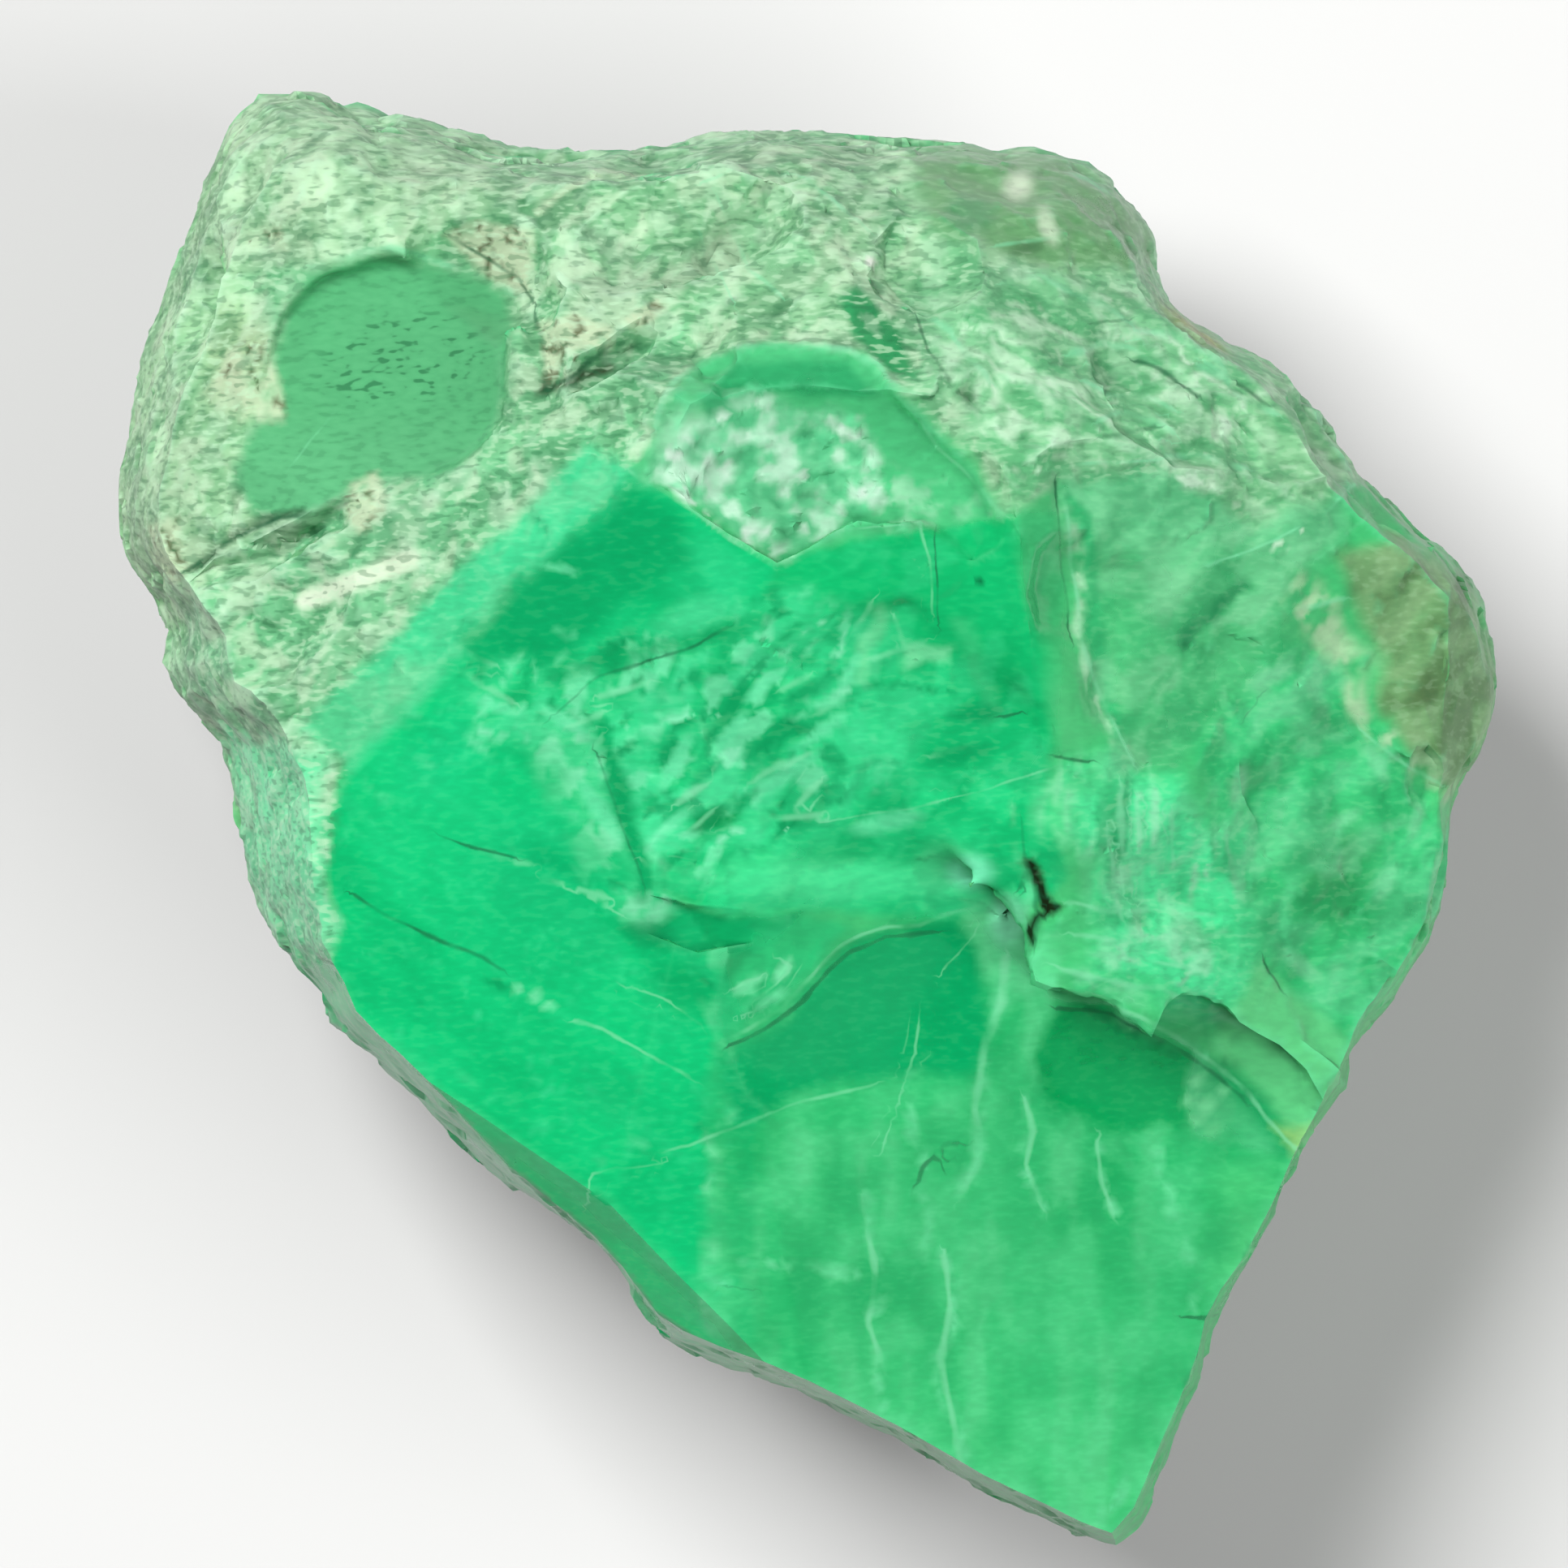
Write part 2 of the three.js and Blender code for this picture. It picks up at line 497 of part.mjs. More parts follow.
// A triangle mesh whose sides can be split, joined and turned, to make its triangles even.
class EvenMesh {
  constructor(positions, faces) {
    this.points = [];
    this.triangles = [];
    for (let i = 0; i < positions.length; i += 3) {
      this.points.push(new THREE.Vector3().fromArray(positions, i));
    }
    for (let i = 0; i < faces.length; i += 3) this.triangles.push([faces[i], faces[i + 1], faces[i + 2]]);
  }

  normal(corners) {
    const [a, b, c] = corners.map((v) => this.points[v]);
    return new THREE.Triangle(a, b, c).getNormal(new THREE.Vector3());
  }

  // Each point's triangles, as sets of their numbers.
  fans() {
    const fans = this.points.map(() => new Set());
    this.triangles.forEach((corners, t) => corners.forEach((v) => fans[v].add(t)));
    return fans;
  }

  // Every side once, as [start, end, triangle on its left, triangle on its right].
  sides() {
    const owner = new Map();
    this.triangles.forEach((corners, t) => {
      corners.forEach((v, k) => owner.set(`${v} ${corners[(k + 1) % 3]}`, t));
    });
    const found = [];
    for (const [key, left] of owner) {
      const [a, b] = key.split(" ").map(Number);
      if (a < b) found.push([a, b, left, owner.get(`${b} ${a}`)]);
    }
    return found;
  }

  // Divides every side over its limit at its middle, until none is left.
  splitLongSides(limit) {
    let middles;
    do {
      middles = new Map();
      for (const [a, b] of this.sides()) {
        if (this.points[a].distanceTo(this.points[b]) <= limit(this.points[a], this.points[b])) continue;
        middles.set(`${a} ${b}`, this.points.push(this.points[a].clone().lerp(this.points[b], 0.5)) - 1);
      }
      this.triangles = this.triangles.flatMap((corners) => this.divided(corners, middles));
    } while (middles.size);
  }

  // A triangle divided at those of its sides that have a middle point.
  divided(corners, middles) {
    const middle = (a, b) => middles.get(a < b ? `${a} ${b}` : `${b} ${a}`);
    for (let k = 0; k < 3; k++) {
      const [a, b, c] = [corners[k], corners[(k + 1) % 3], corners[(k + 2) % 3]];
      const [ab, bc, ca] = [middle(a, b), middle(b, c), middle(c, a)];
      if (ab && bc && ca) return [[a, ab, ca], [ab, b, bc], [ca, bc, c], [ab, bc, ca]];
      if (ab && ca) {
        const [one, other] = [[ab, c], [b, ca]].map(([p, q]) => this.points[p].distanceTo(this.points[q]));
        return [[a, ab, ca], ...(one < other ? [[ab, b, c], [ab, c, ca]] : [[ab, b, ca], [b, c, ca]])];
      }
      if (ab && !bc) return [[a, ab, c], [ab, b, c]];
    }
    return [corners];
  }

  // Joins the ends of sides under a limit, the shortest first, where no triangle near them tilts much.
  joinShortSides({ side: limit, tilt }) {
    const fans = this.fans();
    const around = (v) => new Set([...fans[v]].flatMap((t) => this.triangles[t]));
    const length = ([a, b]) => this.points[a].distanceTo(this.points[b]);
    const short = this.sides().filter((side) => length(side) < limit);
    for (const [a, b] of short.sort((s, t) => length(s) - length(t))) {
      const shared = [...fans[a]].filter((t) => fans[b].has(t));
      if (shared.length !== 2) continue;
      const ring = around(b);
      if ([...around(a)].filter((v) => ring.has(v)).length !== 4) continue;
      const tilts = [this.tiltIfMoved(a, b, fans, shared), this.tiltIfMoved(b, a, fans, shared)];
      if (Math.max(...tilts) < Math.cos(tilt)) continue;
      const [gone, kept] = tilts[0] > tilts[1] ? [a, b] : [b, a];
      for (const t of shared) {
        this.triangles[t].forEach((v) => fans[v].delete(t));
        this.triangles[t] = null;
      }
      for (const t of fans[gone]) {
        this.triangles[t] = this.triangles[t].map((v) => (v === gone ? kept : v));
        fans[kept].add(t);
      }
      fans[gone].clear();
    }
    this.triangles = this.triangles.filter((corners) => corners);
  }

  // The least cosine by which the triangles at a point would turn if it moved onto another.
  tiltIfMoved(from, to, fans, leftOut) {
    let least = 1;
    for (const t of fans[from]) {
      if (leftOut.includes(t)) continue;
      const moved = this.triangles[t].map((v) => (v === from ? to : v));
      least = Math.min(least, this.normal(this.triangles[t]).dot(this.normal(moved)));
    }
    return least;
  }

  // Turns the side between two nearly level triangles where that widens their narrowest corner.
  turnSides() {
    const changed = new Set();
    const known = new Set(this.sides().map(([a, b]) => `${a} ${b}`));
    for (const [a, b, left, right] of this.sides()) {
      if (changed.has(left) || changed.has(right)) continue;
      const c = this.triangles[left].find((v) => v !== a && v !== b);
      const d = this.triangles[right].find((v) => v !== a && v !== b);
      if (known.has(c < d ? `${c} ${d}` : `${d} ${c}`)) continue;
      const before = [this.triangles[left], this.triangles[right]];
      const after = [[a, d, c], [d, b, c]];
      const normals = [...before, ...after].map((corners) => this.normal(corners));
      if (normals.some((n) => n.dot(normals[0]) < LEVEL)) continue;
      if (this.narrowest(after) <= this.narrowest(before)) continue;
      [this.triangles[left], this.triangles[right]] = after;
      changed.add(left).add(right);
      known.add(c < d ? `${c} ${d}` : `${d} ${c}`);
    }
    return changed.size;
  }

  narrowest(triangles) {
    const side = (a, b) => this.points[b].clone().sub(this.points[a]);
    const angle = (a, b, c) => side(a, b).angleTo(side(a, c));
    return Math.min(...triangles.flatMap(([a, b, c]) => [angle(a, b, c), angle(b, c, a), angle(c, a, b)]));
  }

  makeEven(limit) {
    for (const round of JOINING) {
      this.joinShortSides(round);
      this.turnSides();
      this.turnSides();
    }
    this.splitLongSides(limit);
    this.turnSides();
    this.joinShortSides(JOINING.at(-1));
    this.turnSides();
  }
}

const noise = new ImprovedNoise();

// A smooth wandering push at a point, in millimetres.
function wander(p, { size, height }) {
  const push = WANDER_STARTS.map(([x, y, z]) => noise.noise(p.x / size + x, p.y / size + y, p.z / size + z));
  return new THREE.Vector3(...push).multiplyScalar(height);
}

// Makes the surface uneven. The flat cleavage that the crystal rests on stays flat.
function roughen(points) {
  for (const p of points) {
    const upper = THREE.MathUtils.smoothstep(p.z, GIRDLE, GIRDLE + CLEAN_RISE);
    const worn = THREE.MathUtils.lerp(1, Math.max(CLEAN, weathering(p.x, p.y)), upper);
    const lifted = THREE.MathUtils.smoothstep(p.z, 0, FOOT_RISE);
    const push = wander(p, SWELL).add(wander(p, GRAIN)).multiplyScalar(worn * lifted);
    const held = THREE.MathUtils.lerp(1, RIM_SHARE, THREE.MathUtils.smoothstep(rimShare(p), RIM_FROM, 1));
    push.x *= held;
    push.y *= held;
    p.add(push);
  }
}

// How far out a point lies in the plan, from 0 at the middle to 1 on the outline.
function rimShare(p) {
  const distance = Math.hypot(p.x, p.y);
  return distance && distance / reachOf(OUTLINE, new THREE.Vector2(p.x, p.y).normalize());
}

// The longest triangle side allowed near a point.
function longestSide(a, b) {
  const middle = a.clone().lerp(b, 0.5);
  if (middle.z < UNDERSIDE) return COARSE_EDGE;
  return rimShare(middle) > RIM_FROM ? RIM_EDGE : FINE_EDGE;
}

function crystalGeometry() {
  const carved = carvedSolid().getMesh();
  const mesh = new EvenMesh(carved.vertProperties, carved.triVerts);
  mesh.makeEven(longestSide);
  roughen(mesh.points);
  const geometry = new THREE.BufferGeometry().setFromPoints(mesh.points).setIndex(mesh.triangles.flat());
  geometry.computeVertexNormals();
  return geometry;
}

const crystal = new THREE.Mesh(
  crystalGeometry(),
  new THREE.MeshStandardMaterial({ color: COLOUR, roughness: 0.28, metalness: 0 }),
);
crystal.name = "emerald_crystal";

const part = new THREE.Group();
part.add(crystal);
export default part;
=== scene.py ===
"""Looks of a rough emerald crystal that lies on a pale floor, seen from above.

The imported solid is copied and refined, its weathered ground is carved in code, and every point gets a colour and
a finish from the zone that it lies in. Lengths are in millimetres until the mesh is made, and then in metres.
Zones are placed by points of the photograph, which is 1932 pixels wide and shows 64 pixels to the millimetre.
"""

import bpy
import bmesh
import numpy as np
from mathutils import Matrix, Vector


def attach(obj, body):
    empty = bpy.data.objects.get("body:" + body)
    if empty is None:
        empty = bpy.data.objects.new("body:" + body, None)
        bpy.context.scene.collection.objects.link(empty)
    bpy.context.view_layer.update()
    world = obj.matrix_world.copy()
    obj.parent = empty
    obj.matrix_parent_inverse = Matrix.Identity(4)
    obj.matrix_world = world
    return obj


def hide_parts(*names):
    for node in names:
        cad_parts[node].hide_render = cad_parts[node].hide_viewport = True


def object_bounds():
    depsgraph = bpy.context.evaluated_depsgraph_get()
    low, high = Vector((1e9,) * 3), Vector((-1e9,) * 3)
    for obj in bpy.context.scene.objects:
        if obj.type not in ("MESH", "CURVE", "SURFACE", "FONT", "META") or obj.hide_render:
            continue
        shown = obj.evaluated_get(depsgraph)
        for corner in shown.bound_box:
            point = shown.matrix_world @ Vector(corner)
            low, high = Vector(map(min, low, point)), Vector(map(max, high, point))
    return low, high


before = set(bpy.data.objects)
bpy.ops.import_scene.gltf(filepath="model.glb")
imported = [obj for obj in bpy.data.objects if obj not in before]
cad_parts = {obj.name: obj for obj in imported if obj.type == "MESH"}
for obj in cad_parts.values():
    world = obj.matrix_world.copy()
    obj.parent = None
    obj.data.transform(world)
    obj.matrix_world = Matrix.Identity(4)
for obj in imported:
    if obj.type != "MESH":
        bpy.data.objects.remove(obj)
cad_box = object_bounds()

MM = 0.001
NODE = "emerald_crystal"
PIXELS = 64.0  # photograph pixels in a millimetre
ORIGIN = (990.0, 1005.5)  # the photograph's pixel over the frame's origin
PHOTO_SIZE = 1932
GIRDLE = 5.5  # height of the widest line
UPPER_SIDE = 0.172  # longest triangle side on the rough upper side, mm
CLEAN_SIDE = 0.24  # and on the clean lower faces
LOWER_SIDE = 0.42
STAIN = np.array([7.6, 9.5, 8.2])
CRISP_ANGLE = 0.45  # corners that turn more than this stay sharp


# Noise

def hashed(cell, seed):
    """A number from 0 to 1 for each whole cell."""
    c = cell.astype(np.int64)
    h = c[..., 0] * 374761393 + c[..., 1] * 668265263 + c[..., 2] * 2147483629 + seed * 1442695041
    h = (h ^ (h >> 13)) & 0xFFFFFFFF
    h = (h * 1274126177) & 0xFFFFFFFF
    h = (h ^ (h >> 16)) & 0xFFFFFFFF
    h = (h * 2246822519) & 0xFFFFFFFF
    return ((h ^ (h >> 15)) & 0xFFFFFF) / float(0xFFFFFF)


def noise(p, size, seed):
    """Smooth noise from -1 to 1, with features of that size."""
    q = p / size + 1000.0
    cell = np.floor(q)
    f = q - cell
    w = f * f * f * (f * (f * 6 - 15) + 10)
    total = np.zeros(len(p))
    for corner in np.ndindex(2, 2, 2):
        weight = np.prod(np.where(np.array(corner) == 1, w, 1 - w), axis=1)
        total += weight * hashed(cell + corner, seed)
    return total * 2 - 1


def fractal(p, size, octaves, seed, fall=0.5):
    total, weight, reach = np.zeros(len(p)), 1.0, 0.0
    for k in range(octaves):
        total += weight * noise(p, size / 2**k, seed + k)
        reach += weight
        weight *= fall
    return total / reach


def ridges(p, size, octaves, seed):
    """Sharp crests, from 0 in the hollows to 1 on the crests."""
    total, weight, reach = np.zeros(len(p)), 1.0, 0.0
    for k in range(octaves):
        total += weight * (1 - np.abs(noise(p, size / 2**k, seed + k)) * 1.6)
        reach += weight
        weight *= 0.5
    return np.clip(total / reach, 0, 1)


def warped_by(p, reach, size, seed):
    """Points pushed about by smooth noise, to bend what is drawn with them."""
    return p + reach * np.stack([fractal(p, size, 2, seed + 10 * k) for k in range(3)], axis=1)


def smooth(x, low, high):
    t = np.clip((x - low) / (high - low), 0, 1)
    return t * t * (3 - 2 * t)


def terraces(x, step, slope=0.35):
    """A height cut into level steps, each with a short slope up to the next."""
    q = x / step
    base = np.floor(q)
    return (base + smooth(q - base, 0.5 - slope / 2, 0.5 + slope / 2)) * step


def facets(p, size, seed, tilt):
    """A broken surface of small flakes, each with its own tilt and height."""
    q = p / size + 1000.0
    base = np.floor(q)
    nearest = np.full(len(p), 9.0)
    label = np.zeros(len(p))
    way = np.zeros((len(p), 3))
    for step in np.ndindex(3, 3, 3):
        cell = base + np.array(step) - 1
        offset = q - cell - np.stack([hashed(cell, seed + k) for k in range(3)], axis=1)
        distance = np.linalg.norm(offset, axis=1)
        nearer = distance < nearest
        nearest = np.where(nearer, distance, nearest)
        label = np.where(nearer, hashed(cell, seed + 7), label)
        way = np.where(nearer[:, None], offset * size, way)
    lean = np.stack([np.sin(label * 91.7), np.cos(label * 57.3), np.sin(label * 133.1)], axis=1)
    return ((way * lean).sum(axis=1) + (label - 0.5) * size * 0.5) * tilt, label


def turned(p, degrees, long):
    """Points turned in the plan and squeezed along the new first axis, to draw noise out along it."""
    c, s = np.cos(np.radians(degrees)), np.sin(np.radians(degrees))
    x, y = p[:, 0] * c + p[:, 1] * s, p[:, 1] * c - p[:, 0] * s
    return np.stack([x / long, y, p[:, 2] / long], axis=1)


def flecks(p, size, seed, share, long=3.0, angle=0.0, spread=30.0, soft=0.5):
    """Long small flecks scattered over the plan: 1 in a fleck and 0 between them."""
    q = p[:, :2] / size + 1000.0
    base = np.floor(q)
    found = np.zeros(len(p))
    for step in np.ndindex(3, 3):
        cell = np.column_stack([base + np.array(step) - 1, np.zeros(len(p))])
        offset = q - cell[:, :2] - np.stack([hashed(cell, seed), hashed(cell, seed + 1)], axis=1)
        way = np.radians(angle + spread * (2 * hashed(cell, seed + 2) - 1))
        reach = 0.25 + 0.35 * hashed(cell, seed + 3)
        u = (offset[:, 0] * np.cos(way) + offset[:, 1] * np.sin(way)) / reach
        v = (offset[:, 1] * np.cos(way) - offset[:, 0] * np.sin(way)) / reach * long
        there = hashed(cell, seed + 4) < share
        found = np.maximum(found, there * (1 - smooth(np.hypot(u, v), 1 - soft, 1)))
    return found


# Mesh

def solid_mesh(node):
    """The node's points in millimetres, its triangles, and which points lie on crisp edges."""
    bm = bmesh.new()
    bm.from_mesh(node.data)
    bmesh.ops.remove_doubles(bm, verts=bm.verts, dist=0.002 * MM)
    bmesh.ops.triangulate(bm, faces=bm.faces)
    points = np.array([v.co[:] for v in bm.verts]) / MM
    faces = np.array([[v.index for v in f.verts] for f in bm.faces])
    crisp = np.zeros(len(points))
    for e in bm.edges:
        if len(e.link_faces) == 2 and e.calc_face_angle() > CRISP_ANGLE:
            for v in e.verts:
                crisp[v.index] = 1.0
    bm.free()
    return points, faces, crisp


def refine(points, faces, crisp, limit):
    """Splits each side that is over its limit at its middle, until none is left."""
    while True:
        sides = np.sort(faces[:, [[0, 1], [1, 2], [2, 0]]].reshape(-1, 2), axis=1)
        key = sides[:, 0] * np.int64(len(points)) + sides[:, 1]
        unique, inverse = np.unique(key, return_inverse=True)
        a, b = unique // len(points), unique % len(points)
        middle = (points[a] + points[b]) / 2
        long = np.linalg.norm(points[a] - points[b], axis=1) > limit(middle)
        if not long.any():
            return points, faces, crisp
        number = np.full(len(unique), -1)
        number[long] = len(points) + np.arange(long.sum())
        points = np.concatenate([points, middle[long]])
        crisp = np.concatenate([crisp, (crisp[a] + crisp[b])[long] / 2])
        cut = number[inverse].reshape(-1, 3)
        count = (cut >= 0).sum(axis=1)
        out = [faces[count == 0]]
        for n in (1, 2, 3):
            rows = count == n
            f, m = faces[rows], cut[rows]
            if n < 3:  # turn each so that the first side is cut, and of two the last one too
                turn = np.argmax(m >= 0, axis=1) if n == 1 else (np.argmin(m >= 0, axis=1) + 2) % 3
                order = (turn[:, None] + np.arange(3)) % 3
                f, m = np.take_along_axis(f, order, 1), np.take_along_axis(m, order, 1)
            a, b, c = f.T
            ab, bc, ca = m.T
            if n == 1:
                new = [(a, ab, c), (ab, b, c)]
            elif n == 2:
                new = [(a, ab, ca), (ab, b, c), (ab, c, ca)]
            else:
                new = [(a, ab, ca), (ab, b, bc), (ca, bc, c), (ab, bc, ca)]
            out += [np.stack(t, axis=1) for t in new]
        faces = np.concatenate(out)


def normals_of(points, faces):
    a, b, c = (points[faces[:, k]] for k in range(3))
    n = np.cross(b - a, c - a)
    total = np.zeros_like(points)
    for k in range(3):
        for axis in range(3):
            total[:, axis] += np.bincount(faces[:, k], n[:, axis], len(points))
    return total / np.maximum(np.linalg.norm(total, axis=1), 1e-12)[:, None]


def averaged(values, faces):
    """Each point's values averaged with its neighbours'."""
    total = np.zeros_like(values)
    for axis in range(values.shape[1]):
        column = values[:, axis][faces]
        other = column.sum(axis=1, keepdims=True) - column
        total[:, axis] = np.bincount(faces.ravel(), other.ravel(), len(values))
    count = 2 * np.bincount(faces.ravel(), minlength=len(values))
    return np.where(count[:, None] > 0, total / np.maximum(count, 1)[:, None], values)


def soften(points, faces, share, rounds):
    """Moves each point towards its neighbours by its share, so many times."""
    near = faces[(share[faces] > 0).any(axis=1)]
    for _ in range(rounds):
        points = points + (averaged(points, near) - points) * share[:, None]
    return points


def side_limit(p):
    upper = UPPER_SIDE + (CLEAN_SIDE - UPPER_SIDE) * smooth(-p[:, 1], 2.5, 4.5)
    return LOWER_SIDE + (upper - LOWER_SIDE) * smooth(p[:, 2], GIRDLE - 2.0, GIRDLE + 0.5)


points, faces, crisp = refine(*solid_mesh(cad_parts[NODE]), side_limit)
free = (1 - smooth(crisp, 0.3, 0.9)) * (points[:, 2] > 0.02)
points = soften(points, faces, 0.6 * free, 3)
print("points", len(points), "faces", len(faces))

# Zones



def round_plot(x, y, reach_x, reach_y):
    """1 round a point of the plan in mm, fading to 0 at its reach."""
    return 1 - smooth(np.hypot((points[:, 0] - x) / reach_x, (points[:, 1] - y) / reach_y), 0.75, 1)


worn = np.maximum.reduce([round_plot(0.6, 0.9, 4.6, 3.6), round_plot(6.0, 2.4, 2.0, 2.4), round_plot(1.2, -3.6, 3.0, 1.4),
                          round_plot(-6.0, 10.9, 1.6, 1.4), round_plot(6.9, -1.9, 2.7, 2.3), round_plot(2.9, -1.0, 1.8, 1.5),
                          round_plot(10.2, 3.0, 1.8, 2.6), 0.25 * round_plot(-7.8, 8.5, 3.6, 3.2),
                          0.6 * round_plot(2.9, 6.6, 1.4, 1.8)]) * (points[:, 2] > GIRDLE)
points = soften(points, faces, 0.6 * worn, 50)
points = soften(points, faces, 0.8 * round_plot(2.7, -0.9, 1.7, 1.4) * (points[:, 2] > GIRDLE), 150)
points = soften(points, faces, 0.8 * round_plot(3.7, -1.7, 1.2, 1.1) * (points[:, 2] > GIRDLE), 80)

P = points.copy()
N = normals_of(P, faces)
X = ORIGIN[0] + P[:, 0] * PIXELS
Y = ORIGIN[1] - P[:, 1] * PIXELS
UP = smooth(N[:, 2], -0.1, 0.3) * smooth(P[:, 2], GIRDLE - 3.5, GIRDLE - 1.5)
ragged_x = fractal(P, 1.1, 3, 11) * PIXELS
ragged_y = fractal(P, 1.1, 3, 23) * PIXELS


def nearest_side(corners, x, y, closed):
    """Distance in mm from each point to a run of photograph points, and the side that it lies on."""
    c = np.array(corners, float)
    ends = np.roll(c, -1, axis=0) if closed else c[1:]
    nearest = np.full(len(x), 1e9)
    side = np.ones(len(x))
    for (x0, y0), (x1, y1) in zip(c, ends):
        dx, dy = x1 - x0, y1 - y0
        t = np.clip(((x - x0) * dx + (y - y0) * dy) / (dx * dx + dy * dy), 0, 1)
        ox, oy = x - x0 - t * dx, y - y0 - t * dy
        distance = np.hypot(ox, oy) / PIXELS
        nearer = distance < nearest
        nearest = np.where(nearer, distance, nearest)
        side = np.where(nearer, np.sign(ox * dy - oy * dx), side)
    return nearest, side


def region(corners, soft=0.25, ragged=0.25):
    """1 inside a closed run of photograph points, 0 outside, with an edge that is so many mm soft and ragged."""
    x, y = X + ragged_x * ragged, Y + ragged_y * ragged
    c = np.array(corners, float)
    inside = np.zeros(len(x), bool)
    for (x0, y0), (x1, y1) in zip(c, np.roll(c, -1, axis=0)):
        crosses = (y0 > y) != (y1 > y)
        with np.errstate(divide="ignore", invalid="ignore"):
            inside ^= crosses & (x < x0 + (y - y0) * (x1 - x0) / (y1 - y0))
    distance = nearest_side(corners, x, y, True)[0]
    return smooth(np.where(inside, distance, -distance), -soft / 2, soft / 2) * UP


def line(corners, width=0.12, ragged=0.1):
    """1 on a run of photograph points, fading to 0 at that many mm to each side."""
    return (1 - smooth(nearest_side(corners, X + ragged_x * ragged, Y + ragged_y * ragged, False)[0], 0, width)) * UP


def spot(x, y, reach_x, reach_y=None, turn=0.0, soft=0.5):
    """1 in an ellipse of the photograph, fading to 0 over that share of it."""
    reach_y = reach_y or reach_x
    c, s = np.cos(np.radians(turn)), np.sin(np.radians(turn))
    u = ((X - x) * c - (Y - y) * s) / reach_x
    v = ((X - x) * s + (Y - y) * c) / reach_y
    return (1 - smooth(np.hypot(u, v), 1 - soft, 1)) * UP


def strokes(runs):
    """For drawn lines: how far across the nearest one each point lies, in half widths, and how near it is."""
    x, y = X + ragged_x * 0.07, Y + ragged_y * 0.07
    uneven = 1 + 0.6 * fractal(P, 0.35, 2, 31)
    across = np.full(len(x), 9.0)
    near = np.zeros(len(x))
    for width, corners in runs:
        distance, side = nearest_side(corners, x, y, False)
        distance = distance * uneven
        closer = distance / width < np.abs(across)
        across = np.where(closer, side * distance / width, across)
        near = np.where(closer, 1 - smooth(distance, width + 0.04, width + 0.2), near)
    return across, near * UP


left_face = region(
    [(780, 588), (430, 940), (402, 1030), (425, 1120), (385, 1200), (480, 1300), (560, 1390), (640, 1470),
     (720, 1530), (800, 1645), (930, 1700), (930, 1280), (890, 1180), (850, 1120), (800, 1080), (760, 950),
     (690, 900), (740, 830), (860, 790), (940, 760), (960, 705)], 0.12, 0.04)
right_deep = region(
    [(962, 700), (1050, 668), (1130, 655), (1230, 640), (1295, 640), (1302, 800), (1300, 930), (1200, 970),
     (1100, 900), (1000, 820), (900, 790), (940, 760)], 0.3, 0.2)
middle = region(
    [(690, 900), (740, 830), (860, 790), (940, 760), (1000, 760), (1120, 780), (1250, 880), (1290, 930),
     (1300, 1080), (1240, 1120), (1100, 1130), (960, 1120), (850, 1115), (800, 1080), (760, 950)], 0.3, 0.3)
flaked = region(
    [(560, 830), (700, 820), (860, 780), (960, 740), (1090, 760), (1150, 860), (1120, 960), (1010, 1000),
     (930, 1060), (830, 1100), (770, 1040), (700, 940), (600, 900)], 0.6, 0.5)
# Painted shadow below the step at the flaked middle's lower edge
step_shadow = region(
    [(758, 1140), (800, 1125), (850, 1118), (920, 1122), (985, 1124), (950, 1160), (870, 1172), (790, 1165)],
    0.2, 0.2)
lower_face = region(
    [(884, 1280), (1000, 1190), (1080, 1140), (1200, 1115), (1290, 1230), (1440, 1290), (1530, 1345),
     (1570, 1400), (1620, 1425), (1560, 1640), (1480, 1850), (1365, 1930), (1200, 1850), (960, 1720),
     (862, 1665)], 0.5, 0.25)
hollow_left = region(
    [(880, 1290), (919, 1276), (960, 1250), (1003, 1198), (1053, 1151), (1104, 1143), (1179, 1122), (1213, 1164),
     (1216, 1248), (1206, 1315), (1112, 1334), (1028, 1330), (944, 1360), (905, 1372), (890, 1330)], 0.5, 0.3)
hollow_right = region(
    [(1256, 1306), (1276, 1262), (1297, 1236), (1364, 1246), (1448, 1288), (1505, 1326), (1545, 1362), (1560, 1392),
     (1500, 1372), (1473, 1394), (1430, 1380), (1398, 1390), (1340, 1384), (1300, 1362)], 0.3, 0.35)
lip_right = region(
    [(1460, 1290), (1530, 1340), (1560, 1400), (1600, 1425), (1540, 1420), (1470, 1400), (1460, 1330)], 0.2, 0.2)
block = region(
    [(1300, 588), (1424, 566), (1470, 600), (1530, 640), (1600, 620), (1655, 590), (1620, 700), (1560, 820),
     (1440, 940), (1390, 945), (1345, 880), (1310, 720)], 0.6, 0.5)
block_left = region([(1302, 600), (1335, 640), (1350, 760), (1380, 930), (1340, 880), (1312, 740)], 0.15, 0.1)
column = region([(1320, 960), (1380, 940), (1440, 950), (1520, 1010), (1540, 1150), (1480, 1250), (1400, 1230),
                 (1330, 1200)], 1.3, 0.8)
right_side = region(
    [(1460, 880), (1560, 790), (1640, 800), (1710, 930), (1790, 1040), (1790, 1130), (1720, 1240),
     (1660, 1290), (1570, 1200), (1530, 1060)], 0.5, 0.3)
right_lobe = region(
    [(1640, 690), (1720, 670), (1800, 720), (1860, 800), (1860, 870), (1830, 940), (1788, 985), (1720, 900),
     (1690, 800)], 0.5, 0.3)
scaly = region(
    [(1130, 385), (1300, 335), (1430, 380), (1560, 440), (1640, 500), (1660, 590), (1600, 625), (1530, 645), (1460, 605),
     (1430, 570), (1300, 590), (1240, 640), (1170, 500)], 0.5, 0.4)
top_lobe = region(
    [(1130, 170), (1210, 165), (1320, 195), (1400, 260), (1440, 330), (1340, 345), (1250, 335), (1170, 310),
     (1120, 260)], 0.5, 0.3)
